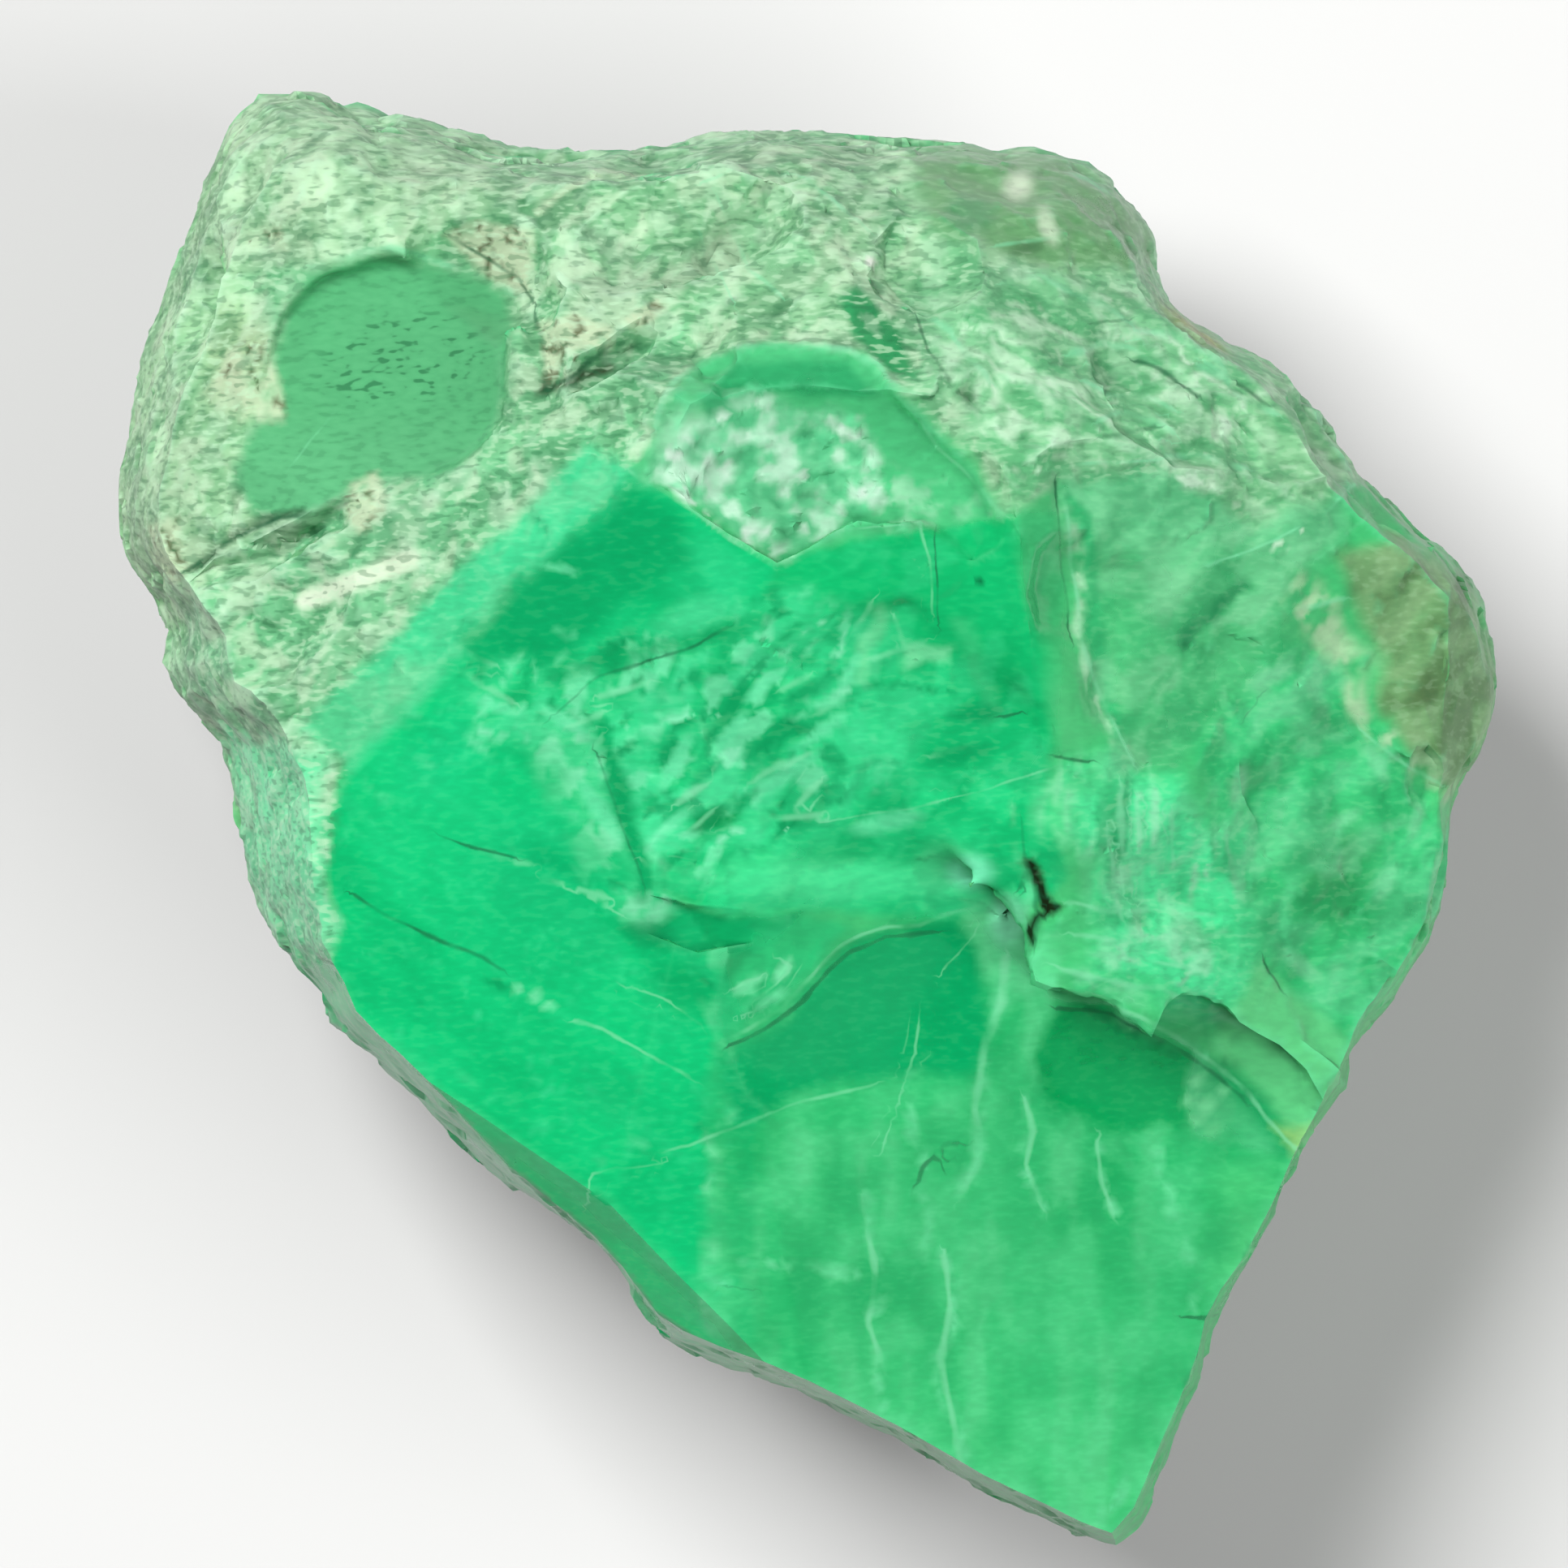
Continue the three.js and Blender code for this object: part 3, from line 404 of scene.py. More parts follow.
top_middle = region(
    [(590, 160), (800, 160), (960, 150), (1130, 170), (1150, 330), (1110, 400), (860, 440), (700, 400),
     (640, 300), (560, 260)], 0.5, 0.4)
sliver = region([(885, 250), (930, 262), (985, 305), (1010, 330), (985, 362), (930, 345), (905, 300)], 0.1, 0.06)
crust_top = region(
    [(230, 330), (235, 230), (270, 140), (320, 90), (420, 95), (600, 160), (600, 280), (480, 325), (380, 330),
     (300, 350)], 0.5, 0.4)
crust_left = region(
    [(190, 350), (310, 330), (345, 420), (330, 560), (330, 680), (215, 800), (120, 640), (160, 460)], 0.5, 0.4)
window = region(
    [(346, 440), (356, 395), (384, 350), (419, 327), (451, 318), (486, 313), (514, 320), (556, 334), (598, 348),
     (633, 373), (641, 415), (636, 500), (610, 560), (542, 594), (486, 602), (430, 612), (381, 640), (320, 636),
     (304, 600), (318, 534)], 0.45, 0.25)
weathered = region(
    [(200, 790), (330, 650), (480, 605), (640, 570), (780, 480), (850, 400), (800, 560), (640, 690), (430, 900),
     (400, 960), (290, 930), (190, 830)], 0.4, 0.3)
band = region([(728, 556), (794, 584), (440, 950), (380, 896)], 0.4, 0.08)
left_rim = region(
    [(270, 900), (400, 930), (410, 1000), (420, 1120), (390, 1190), (340, 1160), (290, 1080), (280, 980)],
    0.4, 0.3)
bowl = region(
    [(790, 585), (815, 520), (860, 455), (920, 438), (1060, 445), (1110, 500), (1180, 570), (1230, 640),
     (1130, 660), (1050, 665), (965, 695)], 0.2, 0.12)
# Painted shadow under the bowl's lit rim
bowl_rim_shadow = region(
    [(862, 500), (905, 458), (1045, 452), (1080, 495), (1020, 500), (960, 492), (900, 520), (870, 530)], 0.25, 0.15)
frost = region(
    [(790, 590), (860, 535), (940, 500), (1060, 520), (1080, 570), (1080, 620), (1020, 655), (965, 690),
     (880, 640)], 0.4, 0.35)
frost_right = region(
    [(1060, 560), (1130, 590), (1225, 635), (1130, 658), (1050, 666), (1000, 670), (1060, 620)], 0.3, 0.3)
upper_ground = region(
    [(60, 40), (1900, 40), (1900, 640), (1640, 585), (1300, 588), (1240, 640), (1180, 560), (1110, 490),
     (1070, 440), (900, 436), (820, 500), (782, 588), (430, 945), (400, 1190), (260, 1120), (60, 800)], 0.4, 0.2)
cream = np.maximum.reduce([
    region([(276, 425), (330, 415), (352, 470), (346, 522), (300, 530), (268, 480)], 0.2, 0.3),
    region([(180, 650), (235, 640), (240, 700), (205, 730)], 0.2, 0.3),
    region([(308, 288), (350, 284), (358, 312), (312, 312)], 0.15, 0.2),
    region([(425, 600), (470, 588), (484, 640), (450, 660), (428, 640)], 0.15, 0.2),
    region([(556, 300), (600, 284), (660, 296), (660, 372), (610, 356), (580, 322)], 0.2, 0.25),
    region([(668, 408), (715, 398), (762, 412), (760, 438), (700, 472), (674, 488)], 0.15, 0.2),
    region([(766, 408), (815, 378), (828, 386), (790, 416)], 0.1, 0.1)])
streak = region([(1035, 375), (1060, 355), (1105, 420), (1130, 480), (1100, 475), (1050, 420)], 0.2, 0.1)

# Drawn lines, each with its half width in mm: bright edges, which are painted highlights where rims and ledges catch
# the light, scratches and healed cracks, and dark cracks, with painted shadow in the dark lines below ledge edges
BRIGHT = [
    (0.05, [(782, 585), (860, 640), (905, 672), (955, 705)]),
    (0.09, [(812, 530), (830, 482), (870, 455), (910, 440), (980, 440), (1045, 442), (1070, 456)]),
    (0.06, [(1075, 452), (1110, 500), (1150, 555), (1200, 605), (1232, 640)]),
    (0.08, [(395, 334), (419, 327), (451, 318), (486, 313), (514, 320), (556, 334), (598, 348), (633, 368)]),
    (0.035, [(368, 578), (390, 548), (422, 510)]),
    (0.05, [(868, 232), (925, 213), (985, 228), (1030, 262), (1070, 292)]),
    (0.05, [(885, 252), (905, 300), (925, 345), (960, 372)]),
    (0.04, [(838, 262), (862, 290), (885, 340), (905, 380)]),
    (0.05, [(1306, 620), (1312, 700), (1328, 800), (1358, 880), (1390, 938)]),
    (0.04, [(1292, 584), (1340, 576), (1430, 572)]),
    (0.04, [(1480, 702), (1560, 670), (1620, 640), (1662, 600)]),
    (0.04, [(1618, 692), (1650, 662), (1682, 636)]),
    (0.06, [(1596, 752), (1650, 741)]),
    (0.05, [(892, 1276), (925, 1262), (960, 1240), (985, 1215), (1005, 1190), (1030, 1165), (1060, 1148),
            (1090, 1140), (1130, 1138), (1160, 1125), (1198, 1117)]),
    (0.06, [(1285, 1226), (1320, 1231), (1370, 1238), (1410, 1256), (1450, 1280), (1490, 1308), (1530, 1338),
            (1555, 1375), (1580, 1405), (1600, 1420)]),
    (0.045, [(710, 1255), (748, 1264), (793, 1289), (852, 1322)]),
    (0.045, [(820, 1412), (852, 1403), (896, 1385), (940, 1366), (1006, 1348), (1073, 1333)]),
    (0.03, [(726, 1470), (730, 1440), (763, 1429), (822, 1425)]),
    (0.03, [(1160, 1193), (1180, 1172), (1202, 1146)]),
    (0.025, [(1132, 1238), (1126, 1290), (1112, 1330), (1100, 1370), (1085, 1405)]),
    (0.035, [(700, 1090), (740, 1106), (772, 1124)]),
    (0.03, [(1002, 1012), (1100, 1000), (1200, 976), (1292, 948)]),
    (0.05, [(1672, 900), (1690, 918), (1730, 945), (1768, 965)]),
    (0.035, [(1002, 664), (1060, 655), (1132, 652), (1144, 700), (1146, 760)]),
    (0.03, [(778, 1212), (822, 1226), (866, 1259)]),
    (0.1, [(1236, 1180), (1230, 1240), (1209, 1282), (1204, 1315), (1196, 1357), (1206, 1400), (1200, 1430),
           (1183, 1466)]),
    (0.08, [(1160, 1540), (1167, 1600), (1158, 1660), (1168, 1720), (1178, 1790)]),
    (0.07, [(1060, 1470), (1076, 1560), (1068, 1620), (1090, 1680)]),
    (0.07, [(1258, 1350), (1272, 1390), (1262, 1430), (1278, 1472)]),
    (0.06, [(1347, 1400), (1352, 1450), (1366, 1490)]),
    (0.09, [(1372, 975), (1376, 1040), (1384, 1090)]),
    (0.08, [(1393, 985), (1398, 1050), (1402, 1100)]),
    (0.08, [(1412, 990), (1416, 1060)]),
    (0.07, [(1434, 1000), (1438, 1060)]),
    (0.08, [(1358, 1020), (1364, 1100), (1376, 1130)]),
    (0.07, [(1310, 1110), (1360, 1122), (1420, 1118), (1500, 1130)]),
    (0.07, [(1320, 1150), (1380, 1160), (1440, 1150), (1480, 1160)]),
    (0.08, [(1300, 1190), (1360, 1205), (1420, 1215), (1480, 1240), (1540, 1270)]),
    (0.07, [(1400, 1180), (1460, 1190), (1520, 1200)]),
    (0.035, [(903, 1216), (920, 1204), (938, 1200)]),
    (0.035, [(930, 1228), (956, 1208), (974, 1190), (962, 1182)]),
    (0.03, [(915, 1246), (940, 1238)]),
    (0.08, [(1239, 356), (1281, 348), (1311, 365), (1353, 381), (1391, 403)]),
    (0.09, [(1395, 415), (1438, 419), (1480, 441), (1497, 453)]),
    (0.08, [(1315, 445), (1353, 432), (1387, 436), (1408, 453), (1454, 478)]),
    (0.08, [(1471, 453), (1505, 470), (1522, 495), (1568, 517)]),
    (0.07, [(1328, 478), (1362, 491), (1395, 487), (1438, 508)]),
    (0.07, [(1345, 525), (1379, 512), (1404, 521), (1438, 538)]),
    (0.09, [(1433, 571), (1471, 563), (1522, 580)]),
    (0.09, [(1134, 394), (1167, 419), (1193, 453), (1214, 478)]),
    (0.06, [(1227, 310), (1269, 301), (1303, 297)]),
    (0.08, [(1606, 478), (1640, 554), (1657, 580)]),
    (0.06, [(1316, 216), (1345, 226), (1364, 242)]),
]
DARK = [
    (0.06, [(240, 702), (275, 680), (310, 660), (350, 642), (390, 637), (430, 625)]),
    (0.07, [(664, 398), (674, 440), (678, 492), (716, 468), (750, 442)]),
    (0.05, [(560, 300), (600, 325), (640, 348), (662, 382)]),
    (0.04, [(1128, 400), (1140, 440), (1168, 480)]),
    (0.03, [(1296, 600), (1300, 700), (1314, 790)]),
    (0.03, [(1150, 660), (1153, 770)]),
    (0.035, [(738, 930), (760, 985), (778, 1040), (796, 1090)]),
    (0.035, [(690, 880), (740, 838), (800, 820), (860, 800), (900, 775)]),
    (0.05, [(900, 1283), (940, 1265), (985, 1232), (1015, 1198), (1045, 1170), (1090, 1152), (1150, 1146)]),
    (0.05, [(1300, 1240), (1370, 1250), (1440, 1286), (1500, 1326), (1530, 1352)]),
    (0.07, [(1128, 1450), (1134, 1430), (1150, 1416), (1160, 1404), (1176, 1402)]),
    (0.05, [(1150, 1416), (1158, 1428)]),
    (0.09, [(1258, 1056), (1262, 1078), (1272, 1092), (1268, 1112), (1276, 1130), (1270, 1160)]),
    (0.07, [(1270, 1098), (1288, 1104), (1298, 1118), (1284, 1128)]),
    (0.05, [(1256, 1076), (1250, 1090)]),
    (0.035, [(1256, 1010), (1258, 1050)]),
    (0.04, [(1228, 886), (1252, 880)]),
    (0.04, [(1294, 934), (1334, 940)]),
    (0.03, [(1528, 884), (1542, 864)]),
    (0.05, [(1458, 1616), (1492, 1619)]),
    (0.05, [(1345, 407), (1387, 398)]),
    (0.06, [(1395, 453), (1433, 466), (1471, 491)]),
    (0.06, [(1353, 546), (1412, 533)]),
    (0.05, [(1522, 478), (1556, 504)]),
    (0.05, [(1290, 455), (1325, 462), (1345, 470)]),
    (0.035, [(549, 1027), (594, 1046), (640, 1056)]),
    (0.06, [(446, 1101), (491, 1131), (549, 1156), (601, 1175), (623, 1190)]),
    (0.03, [(1550, 1180), (1576, 1222)]),
    (0.02, [(900, 1576), (932, 1582)]),
]
# Single bright flakes: both ends of each
FLAKES = [
    (897, 1018, 944, 1002), (881, 945, 902, 913), (839, 986, 871, 965), (965, 945, 1006, 924), (980, 992, 1006, 965),
    (923, 1012, 1006, 1002), (871, 898, 902, 882), (813, 1033, 850, 1044), (798, 1059, 871, 1075),
    (745, 861, 798, 845), (704, 898, 745, 882), (1053, 777, 1069, 751), (1074, 814, 1132, 793),
    (1100, 767, 1111, 798), (965, 851, 996, 835), (725, 934, 745, 913), (600, 1050, 625, 1058),
    (640, 1062, 660, 1064), (676, 1082, 700, 1086), (720, 1092, 750, 1102), (575, 830, 600, 845),
    (610, 850, 640, 868), (590, 812, 612, 822), (700, 965, 720, 990), (728, 1020, 748, 1046),
    (1010, 880, 1040, 866), (930, 960, 962, 940), (852, 1020, 880, 1000), (1150, 930, 1180, 922),
]
BRIGHT += [(0.085, [(x0, y0), (x1, y1)]) for x0, y0, x1, y1 in FLAKES]
MILKY = [
    (0.16, [(1236, 1180), (1230, 1240), (1209, 1282), (1204, 1315), (1196, 1357), (1206, 1400), (1200, 1430), (1183, 1466)]),
    (0.12, [(1258, 1350), (1272, 1390), (1262, 1430), (1278, 1472)]),
    (0.1, [(1347, 1400), (1352, 1450), (1366, 1490)]),
    (0.14, [(1160, 1540), (1167, 1600), (1158, 1660), (1168, 1720), (1178, 1790)]),
    (0.16, [(1060, 1470), (1076, 1560), (1068, 1620), (1090, 1680), (1100, 1740)]),
    (0.12, [(1120, 1330), (1118, 1400), (1136, 1470), (1128, 1560)]),
    (0.14, [(881, 1396), (870, 1460), (878, 1540), (866, 1620), (872, 1676)]),
    (0.2, [(884, 1167), (884, 1220), (890, 1278)]),
    (0.12, [(897, 1293), (900, 1374)]),
    (0.12, [(1250, 1000), (1252, 1080), (1262, 1190)]),
    (0.1, [(1431, 1416), (1440, 1483), (1456, 1550), (1465, 1601)]),
    (0.14, [(1339, 1870), (1362, 1846), (1381, 1819)]),
    (0.12, [(930, 1560), (1000, 1545), (1080, 1560)]),
]
bright_across, bright_near = strokes(BRIGHT)
dark_across, dark_near = strokes(DARK)
broken = smooth(fractal(P, 0.7, 3, 29), -0.35, 0.35)
bright_near *= 0.1 + 0.9 * broken
dark_near *= 1 - 0.7 * broken

# Relief

rough_ground = np.clip(crust_top + crust_left + weathered + scaly + top_middle + left_rim + upper_ground * 0.8, 0, 1)
rough_ground *= (1 - window) * (1 - bowl) * (1 - sliver)
clean = np.clip(left_face + right_deep * 0.6 + lower_face * 0.9 + window * 0.9 + band * 0.7 + top_lobe * 0.6, 0, 1)
below = 1 - UP
other = (1 - clean) * (1 - rough_ground) * UP

warped = warped_by(P, 0.35, 1.3, 201)
swirled = warped_by(P, 0.4, 0.7, 521)
big_flake, big_label = facets(warped, 1.0, 3, 0.3)
small_flake, small_label = facets(warped, 0.42, 17, 0.35)
along = turned(warped, -28, 3.2)
scales = ridges(along, 0.42, 3, 41)
scale_steps = terraces(fractal(along, 0.6, 3, 47) * 0.5, 0.16)
crust_steps = terraces(fractal(turned(warped, 40, 1.8), 0.8, 4, 53) * 0.5, 0.12)
grain = fractal(P, 0.5, 3, 5)

height = rough_ground * (1 - scaly) * (0.16 * crust_steps + 0.06 * grain + 0.16 * big_flake + 0.14 * small_flake)
height += scaly * (0.22 * scale_steps + 0.1 * (scales - 0.5) + 0.02 * grain)
height += np.clip(middle * 0.6 + flaked * 0.4, 0, 1) * (0.06 * crust_steps + 0.14 * big_flake)
height += other * (1 - middle) * (0.04 * grain + 0.12 * big_flake + 0.06 * crust_steps)
lumps = facets(P, 0.36, 61, 0.0)[1]
height += np.clip(frost + frost_right * 0.6, 0, 1) * (0.07 * (lumps - 0.4) + 0.05 * grain)
height += column * 0.06 * ridges(turned(P, 90, 7.0), 0.26, 2, 71)
height += below * (0.12 * fractal(P, 1.4, 3, 91) + 0.3 * big_flake + 0.2 * small_flake)
height += clean * 0.012 * grain
height += 0.1 * line([(800, 525), (900, 440), (1060, 440), (1110, 500), (1180, 570), (1230, 640)], 0.22)
height += 0.03 * (1 - smooth(np.abs(bright_across), 0.5, 2.0)) * bright_near * (1 - clean)
height -= 0.05 * (1 - smooth(np.abs(dark_across), 0.5, 2.5)) * dark_near * (1 - clean)

points = P + N * (height * smooth(P[:, 2], 0.0, 0.35))[:, None]
points = np.clip(points, np.array(cad_box[0]) / MM, np.array(cad_box[1]) / MM)

# Painted light from the relief: a painted highlight on crests and flake edges, and painted shade in creases
blurred = averaged(averaged(points, faces), faces)
bulge = ((points - blurred) * normals_of(points, faces)).sum(axis=1)
edge_highlight = smooth(bulge, 0.006, 0.04)
crease_shade = smooth(-bulge, 0.008, 0.05)

# Colours


def linear(r, g, b):
    """A screen colour from 0 to 255 as linear light."""
    c = np.array([r, g, b]) / 255.0
    return np.where(c <= 0.04045, c / 12.92, ((c + 0.055) / 1.055) ** 2.4)


tint = np.tile(linear(70, 200, 120), (len(P), 1))
rough = np.full(len(P), 0.35)


def paint(mask, rgb, roughness=None):
    """Lays a screen colour, and a roughness if one is given, over the points by their share in a mask."""
    m = np.clip(mask, 0, 1)
    tint[:] = tint * (1 - m)[:, None] + linear(*rgb) * m[:, None]
    if roughness is not None:
        rough[:] = rough * (1 - m) + roughness * m


paint(below, (60, 190, 115), 0.4)
paint(upper_ground, (132, 205, 150), 0.45)
paint(left_face, (17, 204, 122), 0.16)
paint(left_face * spot(730, 690, 170, 110, 45, 0.7), (11, 171, 102))
paint(left_face * spot(870, 730, 90, 60, -35, 0.8), (39, 214, 137))
paint(left_face * spot(660, 1060, 120, 90, -35, 0.9), (15, 191, 117))
paint(left_face * spot(560, 930, 120, 70, 40, 0.9), (26, 208, 132))
paint(left_face * spot(720, 900, 110, 60, 60, 0.9), (70, 224, 150))
paint(left_face * spot(850, 1210, 70, 60, 0, 0.8), (12, 181, 105))
paint(lower_face, (50, 195, 116), 0.22)
paint(lower_face * smooth(Y, 1650, 1850), (64, 206, 124))
paint(lower_face * spot(1350, 1490, 150, 130, 0, 0.8), (37, 184, 105))
paint(lower_face * (1 - smooth(X, 862, 892)) * smooth(Y, 1380, 1450), (20, 202, 118))
paint(lower_face * smooth(X, 1450, 1530) * smooth(Y, 1400, 1460), (74, 206, 124))
# Painted more saturated, to offset the whitish reflection of the sky on this steep strip
paint(region([(640, 1420), (720, 1480), (800, 1545), (870, 1620), (960, 1720), (800, 1700), (600, 1520)], 0.3, 0.1),
      (4, 222, 128), 0.45)
# Darker green in the hollows under the ledges: painted shade
paint(hollow_left, (6, 172, 100), 0.2)
paint(hollow_right, (2, 170, 90), 0.2)
paint(right_deep, (18, 193, 112), 0.2)
paint(middle * (1 - 0.3 * right_deep), (34, 208, 127), 0.3)
paint(middle * spot(990, 1070, 200, 50, 0, 0.8), (56, 217, 136))
paint(flaked * 0.7, (58, 216, 140), 0.3)
paint(spot(940, 880, 90, 80, 0, 0.7) * 0.8, (24, 196, 116))
paint(spot(885, 1005, 50, 26, 35, 0.5), (18, 160, 88))
paint(spot(1230, 830, 50, 70, 0, 0.7) * 0.6, (12, 170, 96))
# painted shadow below the step
paint(step_shadow, (12, 172, 100), 0.25)
paint(right_side, (64, 216, 132), 0.3)
paint(spot(1640, 1080, 90, 120, 0, 0.9), (60, 178, 104))
paint(column, (80, 238, 158), 0.38)
paint(region([(1540, 1180), (1660, 1290), (1640, 1360), (1600, 1420), (1540, 1330), (1480, 1290)], 0.3, 0.2),
      (99, 212, 136), 0.35)
paint(block, (79, 197, 125), 0.26)
paint(block * smooth(-Y, -740, -620), (112, 208, 147), 0.3)
paint(block_left, (60, 190, 118))
paint(right_lobe, (119, 170, 113), 0.45)
paint(scaly, (130, 206, 149), 0.45)
paint(scaly * smooth(X, 1480, 1600), (142, 212, 155))
paint(top_lobe, (112, 172, 116), 0.3)
paint(top_middle, (140, 200, 149), 0.45)
paint(sliver, (128, 192, 140), 0.28)
paint(crust_top, (174, 221, 174), 0.5)
paint(crust_left, (164, 215, 165), 0.5)
paint(spot(300, 450, 60, 90, 0, 0.6), (196, 228, 178), 0.55)
paint(weathered, (125, 206, 149), 0.45)
paint(left_rim, (125, 230, 170), 0.4)
paint(window, (92, 186, 125), 0.36)
paint(window * smooth(Y, 500, 590), (100, 192, 132))
paint(band, (70, 222, 152), 0.32)
paint(band * smooth(Y, 780, 880), (86, 212, 146))
paint(bowl, (82, 203, 132), 0.35)
paint(bowl * spot(850, 560, 60, 70, 20, 0.7), (158, 234, 184))
# painted shadow under the bowl's rim
paint(bowl_rim_shadow, (52, 172, 108), 0.28)
paint(frost * 0.5, (131, 221, 170), 0.45)
paint(streak, (50, 155, 95), 0.3)
paint(lip_right * 0.6, (90, 205, 140), 0.35)
paint(line([(1500, 1322), (1540, 1350), (1556, 1385), (1575, 1410)], 0.45, 0.2) * 0.8, (22, 166, 96))
for x, y, reach in ((1470, 1330, 12), (1482, 1360, 15), (1490, 1388, 13), (1460, 1352, 10), (1502, 1342, 10), (1468, 1376, 9)):
    paint(spot(x, y, reach * 1.3, reach, 30, 0.7) * 0.8, (118, 222, 156))
# Painted lighter, to lift the shade on the ledge's side wall
paint(region([(1190, 1108), (1240, 1098), (1296, 1170), (1290, 1228), (1240, 1244), (1216, 1200)], 0.4, 0.3) * 0.8,
      (100, 224, 152))

# Small light and dark marks



def flame(degrees, long, size, seed):
    """Bent noise in flame-like tongues that lie in one direction of the plan."""
    return fractal(turned(swirled, degrees, long), size, 3, seed)


mottle = fractal(P, 0.9, 4, 131)
cloud = fractal(P, 2.6, 3, 137)
milky = fractal(turned(P, 90, 4.0), 0.55, 3, 151)
striae = fractal(turned(P, -35, 6.0), 0.3, 3, 161)
beads = smooth(fractal(P, 0.3, 3, 171), -0.35, 0.3)
hollows = np.clip(hollow_left + hollow_right, 0, 1)
for width, corners in MILKY:
    paint(line(corners, width * 1.4, 0.4) * beads * 0.9 * (1 - 0.5 * hollows), (112, 230, 164))
net = ridges(swirled, 0.3, 2, 611)
speckle = np.maximum(spot(568, 1260, 90, 50, 20, 0.7), spot(668, 1345, 100, 70, 30, 0.7))
paint(left_face * speckle * smooth(net, 0.7, 0.95) * 0.5, (70, 226, 158))
for x, y in ((645, 1215), (664, 1223), (681, 1234)):
    paint(spot(x, y, 10, 8, 0, 0.5) * 0.9, (136, 240, 182))
pale_face = lower_face * (1 - hollow_left) * (1 - hollow_right)
paint(pale_face * smooth(milky, 0.0, 0.45) * 0.4, (104, 222, 152))
paint(pale_face * smooth(-milky, 0.05, 0.5) * 0.4, (22, 170, 94))
paint(pale_face * smooth(mottle, 0.0, 0.5) * 0.4, (88, 214, 142))
paint(pale_face * smooth(-mottle, 0.0, 0.5) * 0.4, (22, 176, 98))
paint(left_face * smooth(striae, 0.1, 0.6) * 0.2, (60, 222, 150))
paint(left_face * smooth(-striae, 0.1, 0.6) * 0.2, (8, 170, 98))
smears = fractal(turned(warped, -38, 2.6), 0.9, 3, 651)
upper_left = 1 - smooth(Y, 1050, 1250)
paint(left_face * spot(680, 1110, 200, 160, 0, 0.9) * 0.5, (8, 178, 106))
paint(left_face * smooth(net, 0.74, 0.94) * smooth(cloud, -0.2, 0.3) * 0.35, (64, 226, 152))
paint(left_face * smooth(smears, 0.0, 0.35) * (0.2 + 0.25 * upper_left), (30, 212, 133))
paint(left_face * smooth(-smears, 0.0, 0.35) * (0.35 + 0.15 * upper_left), (8, 180, 106))
paint(region([(778, 596), (640, 720), (560, 800), (600, 850), (714, 826), (745, 775), (800, 728), (850, 700), (830, 650)],
             0.6, 0.5) * 0.8, (8, 166, 98))
paint(left_face * spot(890, 700, 70, 34, -38, 0.8) * 0.7, (44, 214, 138))
paint(left_face * smooth(-cloud, 0.0, 0.5) * 0.35, (10, 182, 106))
paint(left_face * flecks(P, 0.9, 301, 0.35, 4.0, -35, 25) * smooth(fractal(P, 1.6, 2, 307), 0.0, 0.5) * 0.6,
      (110, 232, 172))
paint(left_face * flecks(P, 0.7, 311, 0.2, 3.5, -35, 30) * smooth(-fractal(P, 1.6, 2, 307), 0.0, 0.5) * 0.6,
      (6, 140, 80))
tongues = flame(35, 2.3, 0.5, 501)
broad_tongues = flame(30, 1.8, 0.9, 531)
small_tongues = flame(50, 2.0, 0.36, 511)
veins = smooth(ridges(swirled, 0.6, 3, 541), 0.86, 0.97)
centre = np.clip(middle + flaked, 0, 1)
busy = flaked * (1 - smooth(X, 1000, 1130))
paint(centre * smooth(broad_tongues, 0.0, 0.25) * 0.5, (52, 218, 140))
paint(centre * smooth(-broad_tongues, 0.0, 0.3) * 0.6, (10, 186, 108))
paint(centre * smooth(tongues, 0.05, 0.3) * (0.2 + 0.5 * busy), (72, 224, 152))
paint(centre * smooth(-tongues, 0.1, 0.35) * (0.2 + 0.4 * busy), (6, 166, 96))
paint(busy * smooth(small_tongues, 0.2, 0.34) * 0.7, (118, 236, 176))
paint(busy * smooth(-small_tongues, 0.2, 0.38) * 0.6, (6, 148, 86))
paint(busy * flecks(swirled, 0.6, 331, 0.25, 5.0, 38, 25, 0.3) * 0.8, (140, 242, 190))
paint(busy * flecks(swirled, 0.6, 341, 0.2, 5.0, 32, 40, 0.3) * 0.6, (6, 140, 80))
paint(right_deep * (1 - flaked) * smooth(tongues, 0.1, 0.4) * 0.35, (58, 216, 142))
paint(line([(690, 905), (728, 965), (775, 1050), (800, 1104)], 0.7, 0.6) * 0.6, (78, 224, 150))
patch = line([(690, 905), (728, 965), (775, 1050), (800, 1104)], 0.8, 0.5)
paint(patch * smooth(fractal(turned(swirled, -55, 2.2), 0.4, 3, 661), 0.0, 0.2) * 0.8, (140, 238, 186))
paint(line([(746, 900), (767, 980), (795, 1086)], 0.32, 0.3) * 1.3, (14, 170, 100))
paint(region([(884, 1160), (985, 1128), (1050, 1140), (1000, 1190), (950, 1240), (890, 1275)], 0.3, 0.3) * 0.8,
      (34, 194, 118))
paint(spot(925, 1208, 30, 9, 30, 0.5) * 0.8, (120, 234, 170))
paint(spot(965, 1192, 22, 8, 55, 0.5) * 0.8, (130, 236, 176))
paint(spot(950, 1226, 28, 8, 30, 0.5) * 0.8, (110, 232, 166))
paint(line([(688, 838), (770, 814), (850, 792), (945, 764)], 0.28) * 0.7, (10, 166, 96))
paint(spot(856, 762, 74, 30, 20, 0.8) * 0.7, (74, 222, 152))
paint(region([(1104, 786), (1130, 790), (1168, 806), (1160, 826), (1138, 818), (1118, 836)], 0.2, 0.4) * 0.8,
      (118, 226, 162))
paint(line([(1056, 838), (1066, 800), (1084, 770), (1082, 752)], 0.24, 0.4) * 0.8, (110, 226, 158))
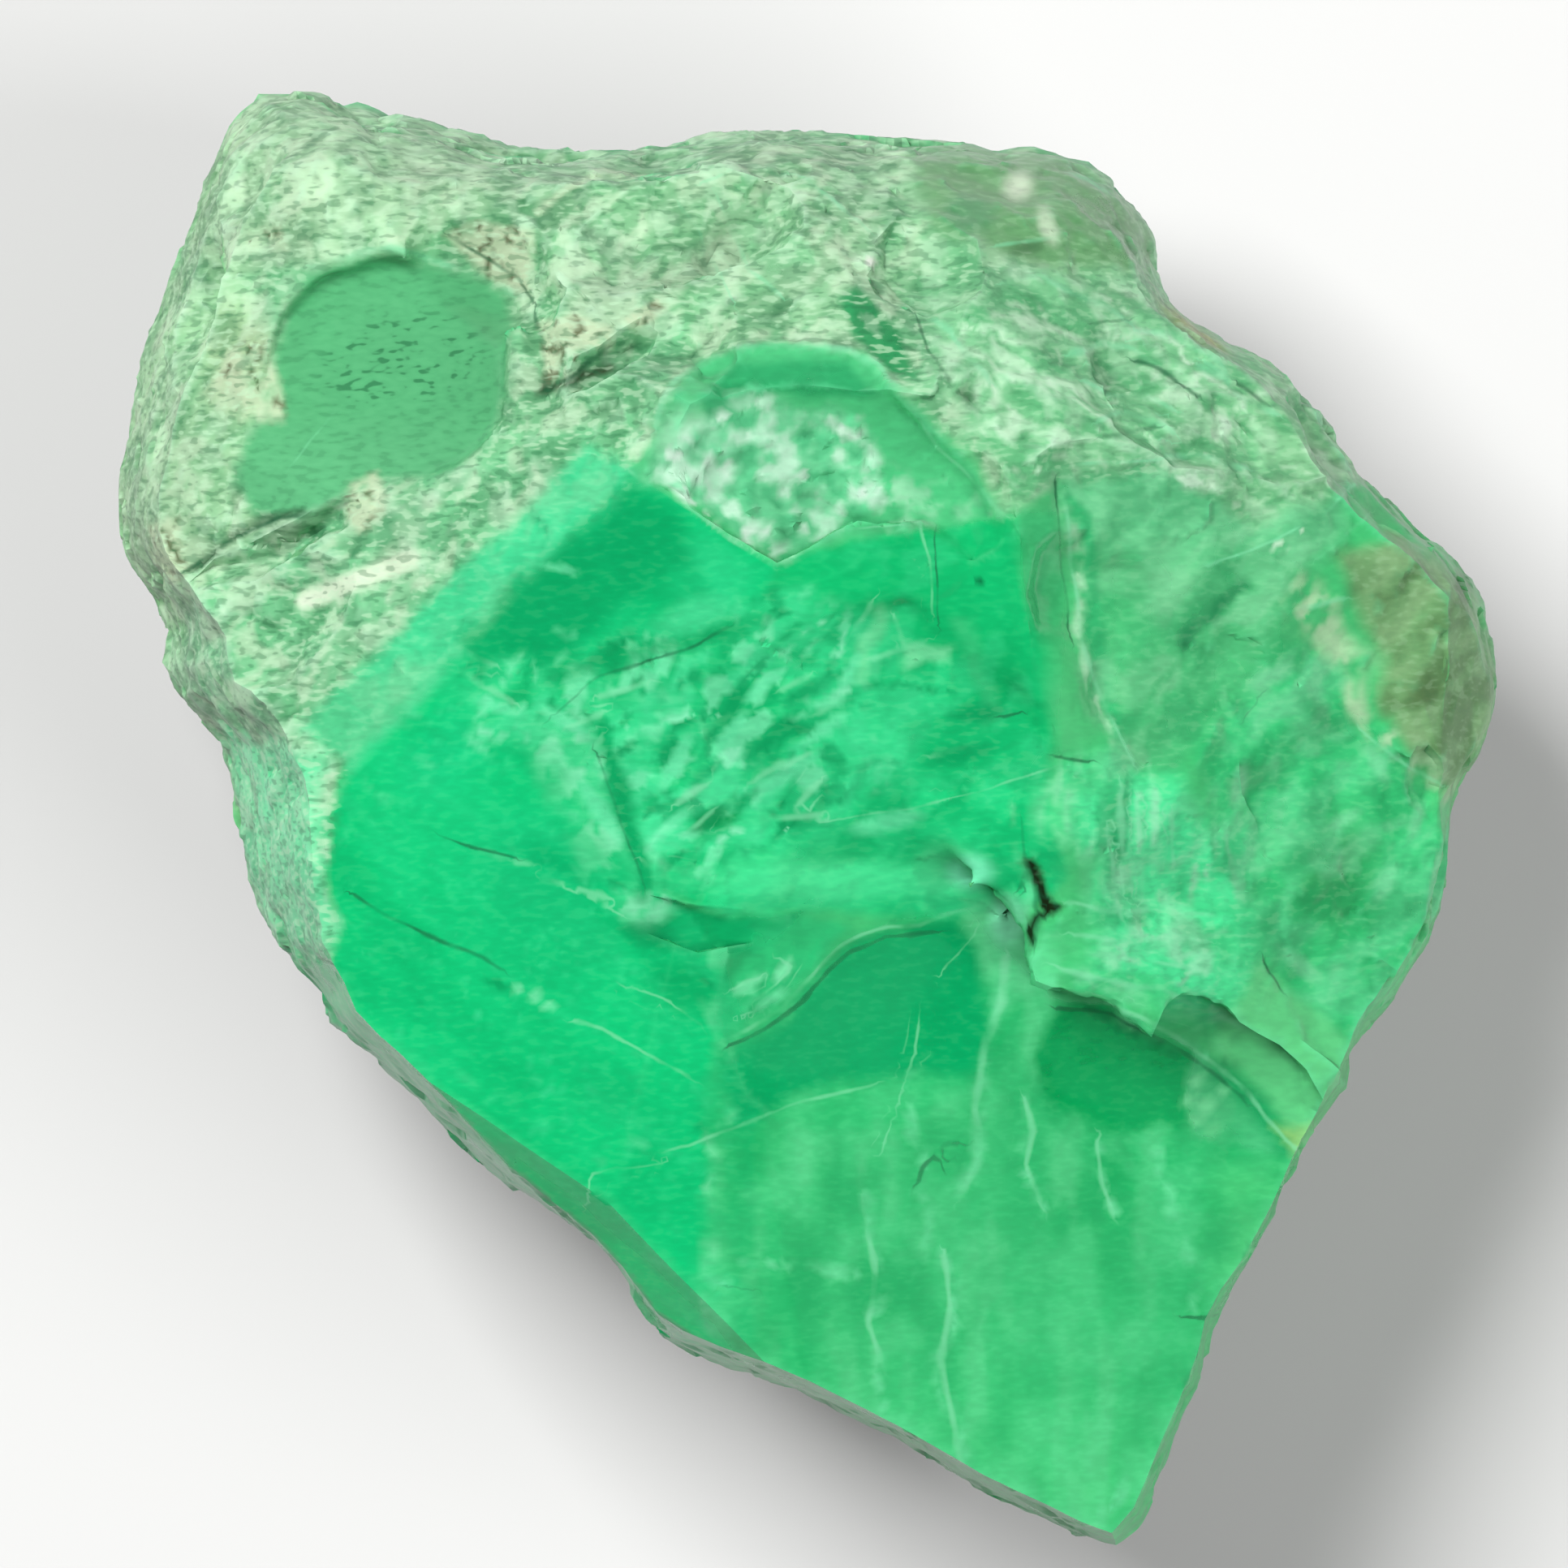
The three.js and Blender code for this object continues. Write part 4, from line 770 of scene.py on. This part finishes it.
paint(line([(1180, 776), (1196, 850), (1212, 884)], 0.3, 0.5) * 0.5, (70, 206, 134))
paint(line([(1060, 846), (1110, 848), (1170, 857)], 0.09) * 0.6, (10, 150, 86))
paint(spot(1015, 1082, 230, 34, 0, 0.7) * 0.8, (72, 232, 152))
paint(spot(876, 1008, 34, 15, 35, 0.5) * 0.9, (12, 146, 82))
for x, y, reach, turn_by in ((826, 1018, 44, 40), (968, 954, 60, 32), (900, 905, 46, 50), (835, 940, 50, 62),
                             (940, 848, 40, 40), (1015, 900, 44, 35), (745, 1000, 60, -55), (1090, 1012, 60, 12),
                             (620, 872, 40, -20), (700, 890, 44, -30), (1045, 830, 34, 60)):
    paint(spot(x, y, reach, reach * 0.24, turn_by, 0.5) * 0.75, (104, 234, 170))
for x, y, reach, turn_by in ((905, 868, 50, 60), (960, 905, 54, 40), (870, 955, 40, 45), (1000, 850, 50, 30),
                             (920, 985, 36, 38), (1200, 880, 50, 5), (1180, 930, 60, 12)):
    paint(spot(x, y, reach, reach * 0.3, turn_by, 0.7) * 0.7, (8, 158, 92))
# painted shadow, darker, in the same step
paint(spot(806, 1146, 52, 20, -8, 0.9) * 0.6, (12, 148, 88))

ripples = ridges(turned(swirled, -20, 3.4), 0.46, 2, 551)
paint(scaly * smooth(1 - ripples, 0.4, 0.75) * 0.7, (86, 176, 116))
paint(scaly * smooth(ripples, 0.66, 0.86) * 0.9, (196, 242, 202))
paint(scaly * flecks(swirled, 0.6, 361, 0.4, 4.0, -24, 25, 0.4) * 0.5, (206, 244, 208))
ground = np.clip(crust_top + crust_left + weathered + top_middle + left_rim + upper_ground, 0, 1)
ground = ground * (1 - window) * (1 - bowl) * (1 - 0.85 * band) * (1 - scaly) * (1 - top_lobe) * (1 - right_lobe)
paint(ground * smooth(tongues, 0.0, 0.35) * 0.3, (206, 238, 200))
paint(ground * smooth(-tongues, 0.05, 0.4) * 0.35, (98, 180, 122))
paint(ground * smooth(small_tongues, 0.1, 0.3) * 0.5, (214, 242, 206))
paint(ground * smooth(-small_tongues, 0.12, 0.35) * 0.5, (78, 150, 100))
paint(ground * veins * 0.45, (66, 112, 74))
upright = column * (1 - smooth(Y, 1080, 1140))
level = column * smooth(Y, 1080, 1140)
paint(upright * smooth(ridges(turned(P, 90, 6.0), 0.36, 2, 71), 0.62, 0.86) * 0.8, (160, 238, 190))
paint(upright * smooth(-fractal(turned(P, 88, 5.0), 0.4, 2, 73), 0.1, 0.35) * 0.7, (40, 166, 100))
paint(level * smooth(ridges(turned(swirled, -14, 3.6), 0.5, 2, 75), 0.66, 0.86) * 0.8, (150, 238, 186))
paint(level * smooth(-fractal(turned(swirled, -14, 4.0), 0.4, 2, 77), 0.1, 0.35) * 0.6, (48, 178, 108))
paint(column * smooth(tongues, 0.1, 0.4) * 0.4, (140, 230, 176))
paint(right_side * smooth(broad_tongues, 0.0, 0.3) * 0.5, (98, 216, 150))
paint(right_side * smooth(-broad_tongues, 0.0, 0.3) * 0.5, (34, 176, 100))
paint(right_side * smooth(tongues, 0.05, 0.4) * 0.4, (124, 224, 164))
paint(right_side * smooth(-tongues, 0.1, 0.4) * 0.4, (30, 152, 88))
for x, y, reach, turn_by in ((1560, 835, 46, 20), (1690, 940, 40, -60), (1650, 1010, 34, 30), (1700, 1090, 40, 60),
                             (1600, 1190, 44, -40), (1740, 1010, 36, 70), (1520, 970, 40, 80)):
    paint(spot(x, y, reach, reach * 0.35, turn_by, 0.7) * 0.6, (132, 228, 170))
for x, y, reach, turn_by in ((1618, 880, 44, -40), (1590, 1060, 50, 30), (1676, 1120, 50, 60), (1560, 1130, 30, 70)):
    paint(spot(x, y, reach, reach * 0.5, turn_by, 0.8) * 0.6, (30, 160, 92))
paint(block * smooth(broad_tongues, 0.0, 0.3) * 0.35, (128, 216, 158))
paint(block * smooth(tongues, 0.1, 0.4) * 0.4, (142, 224, 168))
paint(block * smooth(-tongues, 0.05, 0.4) * 0.5, (44, 162, 98))
paint(line([(1440, 760), (1500, 716), (1580, 668), (1650, 612)], 0.5, 0.4) * 0.45, (56, 160, 100))
paint(spot(1568, 658, 56, 30, 15, 0.6) * flecks(P, 0.45, 561, 0.8, 3.5, 20, 12, 0.3) * 0.9, (208, 244, 212))
paint(spot(1610, 750, 44, 18, 0, 0.6) * flecks(P, 0.4, 571, 0.8, 3.0, 5, 20, 0.3) * 0.9, (214, 246, 214))
paint(spot(1460, 594, 44, 18, -10, 0.6) * flecks(P, 0.4, 581, 0.8, 3.0, -12, 20, 0.3) * 0.9, (208, 244, 214))
snow = np.clip(frost * 0.9 + line([(812, 572), (885, 640), (970, 684)], 0.4) + 0.35 * frost_right, 0, 1)
snow *= 1 - left_face
paint(snow * smooth(fractal(P, 0.34, 3, 601), -0.1, 0.45), (198, 246, 214), 0.5)
paint(snow * smooth(fractal(P, 0.36, 2, 607), 0.25, 0.45) * 0.8, (224, 252, 232), 0.5)
paint(snow * smooth(-fractal(P, 0.34, 3, 601), 0.1, 0.45) * 0.6, (58, 178, 116))
# Painted highlight on crests and flake edges, and painted shade in creases
paint(edge_highlight * (1 - 0.7 * clean) * (1 - 0.7 * ground - 0.7 * scaly) * 0.4, (110, 234, 168))
paint(edge_highlight * (ground + scaly) * 0.4, (208, 244, 212))
paint(crease_shade * (1 - 0.5 * clean) * 0.35, (20, 110, 66))
paint(streak * 0.95, (56, 160, 98), 0.3)
paint(sliver * 0.7, (128, 194, 142))
paint(spot(1170, 340, 80, 60, 0, 0.7) * 0.5, (104, 178, 124))
paint(left_rim * 0.7, (112, 248, 178))
paint(spot(240, 684, 40, 26, 30, 0.7) * 0.7, (206, 240, 198))
paint(line([(386, 742), (444, 720), (514, 694)], 0.3, 0.05) * 1.6, (222, 246, 212), 0.4)
paint(cream * smooth(grain, -0.5, 0.0) * 0.9, (208, 230, 190), 0.55)
paint(cream * smooth(ridges(swirled, 0.34, 2, 617), 0.7, 0.86) * 0.85, (92, 96, 62))
paint(line([(672, 494), (715, 476), (756, 462)], 0.16) * 0.9, (58, 66, 42))
paint(line([(250, 702), (290, 668), (332, 643), (384, 632)], 0.14) * 0.8, (44, 84, 54))
paint(line([(668, 270), (703, 240), (745, 219), (792, 224)], 0.12) * 0.7, (212, 238, 198))
paint(line([(1125, 395), (1150, 450), (1190, 500)], 0.3) * smooth(small_tongues, 0.0, 0.2) * 0.8, (58, 104, 66))
# Painted shadow just below the right ledge's edge
paint(line([(1339, 1246), (1398, 1271), (1440, 1292)], 0.12) * 0.7, (5, 118, 66))
paint(spot(1798, 722, 14, 28, 0, 0.5) * 0.8, (62, 100, 64))
paint(line([(1600, 745), (1640, 790), (1680, 870), (1712, 925), (1784, 968)], 0.6, 0.6) * smooth(small_tongues, -0.2, 0.2),
      (176, 226, 174))
# Painted light over the notch and the ledge wall, to lift the shade that the geometry casts there
paint(spot(1160, 1070, 50, 50, 0, 0.7) * 0.6, (84, 230, 154))
paint(spot(1192, 1072, 40, 30, 0, 0.7) * 0.8, (132, 255, 200))
paint(spot(1236, 1132, 30, 44, 0, 0.7) * 0.8, (140, 250, 196))
paint(region([(1560, 1385), (1620, 1380), (1620, 1430), (1590, 1428)], 0.3, 0.2) * 0.6, (170, 218, 124))
paint(region([(1240, 640), (1300, 600), (1322, 760), (1350, 900), (1300, 940), (1280, 800)], 0.4, 0.3) * 0.6, (82, 196, 124))
paint(line([(1308, 640), (1316, 720), (1326, 806), (1345, 862), (1366, 912)], 0.2, 0.3) * beads * 0.9, (176, 238, 190))
paint(line([(1396, 700), (1404, 800), (1398, 900)], 0.5, 0.6) * 0.4, (60, 182, 112))
paint(line([(1470, 772), (1486, 752), (1498, 748), (1516, 728)], 0.3, 0.6) * 0.75, (16, 120, 72))
paint(spot(1202, 722, 6, 6, 0, 0.5), (10, 120, 70))
paint(spot(1070, 333, 9, 8, 0, 0.4), (226, 240, 220))
# Painted highlights on the top lobe's rounded top, and painted shadow under it
paint(spot(1252, 236, 30, 26, 30, 0.8) * 0.9, (220, 238, 210))
paint(spot(1288, 286, 16, 36, 20, 0.7) * 0.8, (206, 230, 198))
paint(spot(1262, 312, 40, 14, 10, 0.8) * 0.7, (74, 116, 78))
paint(spot(1190, 272, 44, 34, 0, 0.6) * 0.5, (66, 150, 100))
paint(right_lobe * smooth(tongues, 0.0, 0.4) * 0.5, (150, 192, 138))
paint(right_lobe * smooth(-tongues, 0.0, 0.3) * 0.6, (88, 126, 78))
paint(spot(1750, 850, 40, 30, 40, 0.7) * 0.6, (88, 118, 72))
paint(spot(1470, 400, 60, 26, -38, 0.8) * 0.6, (190, 184, 126))
stain_distance = np.linalg.norm(P - STAIN, axis=1) + 0.6 * fractal(P, 1.1, 3, 647)
paint((1 - smooth(stain_distance, 0.2, 1.3)) * 0.6, (196, 170, 112))
rust = line([(1258, 1050), (1266, 1084), (1278, 1112), (1292, 1118), (1274, 1130), (1270, 1162)], 0.2, 0.4)
paint(rust * 0.9, (56, 52, 18), 0.5)
paint(smooth(rust, 0.45, 0.8) * 0.9, (16, 24, 8))
walls = smooth(0.5 - N[:, 2], 0.0, 0.3) * smooth(P[:, 2], GIRDLE - 3.0, GIRDLE - 1.0)
paint(walls * smooth(Y, 1100, 1250) * (1 - smooth(X, 820, 980)), (16, 204, 120), 0.3)
paint(walls * smooth(Y, 1350, 1500) * smooth(X, 820, 980), (62, 204, 120), 0.3)
outline_glow = smooth(0.35 - N[:, 2], 0.0, 0.5) * smooth(P[:, 2], GIRDLE - 2.0, GIRDLE)
paint(outline_glow * (1 - smooth(Y, 900, 1250)) * (1 - smooth(X, 300, 500)) * 0.22, (196, 232, 132))
paint(outline_glow * smooth(X, 1500, 1700) * 0.25, (160, 206, 130))

light_flecks = np.clip(0.9 * ground + 0.4 * scaly + 0.05 * centre + 0.25 * column + 0.12 * right_side + 0.1 * block
                       + 0.2 * right_lobe + 0.2 * top_lobe + 0.2 * below + 0.03 * clean, 0, 1)
dark_flecks = np.clip(light_flecks * 0.8 + 1.2 * window * smooth(spot(500, 450, 150, 80, 10, 0.9), 0.1, 0.6)
                      + 0.3 * window, 0, 1.3)
flaky = np.clip(ground + scaly + 0.3 * centre + 0.3 * other + 0.5 * below, 0, 1) * (1 - 0.8 * window)
paint((ground + scaly) * smooth(small_label, 0.84, 0.9) * 0.25, (206, 240, 208))
paint((ground + scaly) * smooth(-small_label, -0.16, -0.1) * 0.2, (50, 146, 88))
tint *= (1 + 0.13 * mottle * (1 - 0.5 * clean) + 0.05 * cloud + 0.3 * flaky * (big_label - 0.5))[:, None]
tint = np.clip(tint, 0.0005, 0.95)
rough = np.clip(rough + 0.06 * mottle, 0.08, 0.9)

# Object

mesh = bpy.data.meshes.new("emerald")
mesh.vertices.add(len(points))
mesh.vertices.foreach_set("co", (points * MM).ravel())
mesh.loops.add(len(faces) * 3)
mesh.loops.foreach_set("vertex_index", faces.ravel())
mesh.polygons.add(len(faces))
mesh.polygons.foreach_set("loop_start", np.arange(len(faces)) * 3)
mesh.polygons.foreach_set("use_smooth", np.ones(len(faces), bool))
mesh.update(calc_edges=True)
mesh.validate()
mesh.set_sharp_from_angle(angle=0.7)


def store(name, *channels):
    layer = mesh.color_attributes.new(name, "FLOAT_COLOR", "POINT")
    layer.data.foreach_set("color", np.column_stack(channels).ravel())


ones = np.ones(len(points))
store("tint", tint, ones)
# Roughness, and the shares of the drawn lines: bright ones partly painted edge highlights, dark ones partly painted
# ledge shadow
store("finish", rough, bright_near, dark_near, ones)
store("lines", np.clip(bright_across, -3, 3), np.clip(dark_across, -3, 3), light_flecks, ones)
store("specks", dark_flecks, ones, ones, ones)

crystal = bpy.data.objects.new("emerald", mesh)
bpy.context.scene.collection.objects.link(crystal)

# Material

material = bpy.data.materials.new("emerald")
material.use_nodes = True
nodes, links = material.node_tree.nodes, material.node_tree.links
nodes.clear()


def add(kind, settings=(), **inputs):
    """A new node with its settings, and its inputs set to values or linked to other nodes' outputs."""
    node = nodes.new(kind)
    for name, value in dict(settings).items():
        setattr(node, name, value)
    for name, value in inputs.items():
        socket = node.inputs[int(name[1:]) if name[1:].isdigit() else name.replace("_", " ")]
        if isinstance(value, bpy.types.NodeSocket):
            links.new(value, socket)
        else:
            socket.default_value = value
    return node


def attribute(name):
    return add("ShaderNodeAttribute", {"attribute_name": name}).outputs["Color"]


def channels(name):
    return add("ShaderNodeSeparateColor", Color=attribute(name)).outputs


def math(operation, a, b=0.0):
    return add("ShaderNodeMath", {"operation": operation}, i0=a, i1=b).outputs[0]


def ramp(value, low, high, to_low=0.0, to_high=1.0):
    """A smooth step between two values."""
    node = add("ShaderNodeMapRange", {"interpolation_type": "SMOOTHSTEP"}, Value=value)
    for name, number in zip(("From Min", "From Max", "To Min", "To Max"), (low, high, to_low, to_high)):
        node.inputs[name].default_value = number
    return node.outputs[0]


def mixed(share, a, b, blend="MIX"):
    return add("ShaderNodeMix", {"data_type": "RGBA", "blend_type": blend}, i0=share, i6=a, i7=b).outputs[2]


place = add("ShaderNodeMapping", Vector=add("ShaderNodeTexCoord").outputs["Object"], Rotation=(0, 0, -0.5),
            Scale=(3200, 8200, 5000))
fine = add("ShaderNodeTexNoise", Vector=place.outputs[0], Scale=1.0, Detail=1.0).outputs["Fac"]
roughness, bright_share, dark_share = channels("finish")
bright_line, dark_line, light_flecks = channels("lines")
dark_flecks = channels("specks")[0]


def drawn(across, share, weight):
    """How much of a drawn line shows: crisp across it, and broken along it."""
    return math("MULTIPLY", math("MULTIPLY", ramp(math("ABSOLUTE", across), 0.1, 1.2, 1.0, 0.0), share), weight)


base = mixed(1.0, attribute("tint"), ramp(fine, 0.3, 0.7, 0.95, 1.05), "MULTIPLY")
base = mixed(math("MULTIPLY", ramp(fine, 0.54, 0.66, 0.0, 0.5), light_flecks), base, (0.62, 0.93, 0.62, 1))
base = mixed(math("MULTIPLY", ramp(fine, 0.34, 0.44, 0.55, 0.0), dark_flecks), base, (0.03, 0.2, 0.08, 1))
# Drawn lines: bright ones partly painted edge highlights, dark ones cracks and partly painted shadow below ledges
base = mixed(drawn(bright_line, bright_share, 0.5), base, (0.26, 0.84, 0.46, 1))
base = mixed(drawn(dark_line, dark_share, 0.7), base, (0.012, 0.12, 0.05, 1))
surface = add("ShaderNodeBsdfPrincipled", Base_Color=base, Roughness=roughness, IOR=1.58, Transmission_Weight=0.55,
              Specular_IOR_Level=0.25)
absorb = add("ShaderNodeVolumeAbsorption", Color=(0.04, 0.975, 0.86, 1), Density=550.0)
add("ShaderNodeOutputMaterial", Surface=surface.outputs[0], Volume=absorb.outputs[0])
mesh.materials.append(material)

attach(crystal, "root")
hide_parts(NODE)

# Floor, light and camera

FLOOR_HALF = 1.5
floor_mesh = bpy.data.meshes.new("floor")
floor_mesh.from_pydata([(x * FLOOR_HALF, y * FLOOR_HALF, 0) for x, y in ((-1, -1), (1, -1), (1, 1), (-1, 1))], [],
                       [(0, 1, 2, 3)])
floor = bpy.data.objects.new("floor", floor_mesh)
bpy.context.scene.collection.objects.link(floor)
paper = bpy.data.materials.new("floor")
paper.use_nodes = True
paper_shader = paper.node_tree.nodes["Principled BSDF"]
paper_shader.inputs["Base Color"].default_value = (0.42, 0.42, 0.415, 1)
paper_shader.inputs["Roughness"].default_value = 0.9
paper_shader.inputs["Specular IOR Level"].default_value = 0.1
floor_mesh.materials.append(paper)

world = bpy.data.worlds.new("studio")
world.use_nodes = True
bpy.context.scene.world = world
nodes, links = world.node_tree.nodes, world.node_tree.links
background = nodes["Background"]
heading = add("ShaderNodeSeparateXYZ", Vector=add("ShaderNodeTexCoord").outputs["Generated"])
links.new(ramp(heading.outputs["Z"], 0.3, 0.9, 1.35, 0.75), background.inputs["Strength"])


def area_light(name, place, size, power):
    data = bpy.data.lights.new(name, "AREA")
    data.size = size
    data.energy = power
    lamp = bpy.data.objects.new(name, data)
    lamp.location = place
    lamp.rotation_mode = "QUATERNION"
    lamp.rotation_quaternion = (Vector((0, 0, GIRDLE * MM)) - lamp.location).to_track_quat("-Z", "Y")
    lamp.visible_glossy = False
    lamp.visible_transmission = False
    bpy.context.scene.collection.objects.link(lamp)


area_light("key", (-0.13, 0.13, 0.24), 0.14, 1.9)
area_light("fill", (0.2, -0.08, 0.18), 0.2, 1.0)

SENSOR = 36
DISTANCE = 0.4  # metres from the crystal's widest line
camera_data = bpy.data.cameras.new("camera")
camera_data.sensor_width = SENSOR
camera_data.lens = SENSOR * DISTANCE / (PHOTO_SIZE / PIXELS * MM)
camera_data.clip_start = 0.01
camera = bpy.data.objects.new("camera", camera_data)
camera.location = (
    (PHOTO_SIZE / 2 - ORIGIN[0]) / PIXELS * MM,
    (ORIGIN[1] - PHOTO_SIZE / 2) / PIXELS * MM,
    GIRDLE * MM + DISTANCE,
)
bpy.context.scene.collection.objects.link(camera)
bpy.context.scene.camera = camera
bpy.context.scene.view_settings.view_transform = "Standard"
bpy.context.scene.cycles.max_bounces = 3
bpy.context.scene.cycles.diffuse_bounces = 1
bpy.context.scene.cycles.glossy_bounces = 2
bpy.context.scene.cycles.transmission_bounces = 2
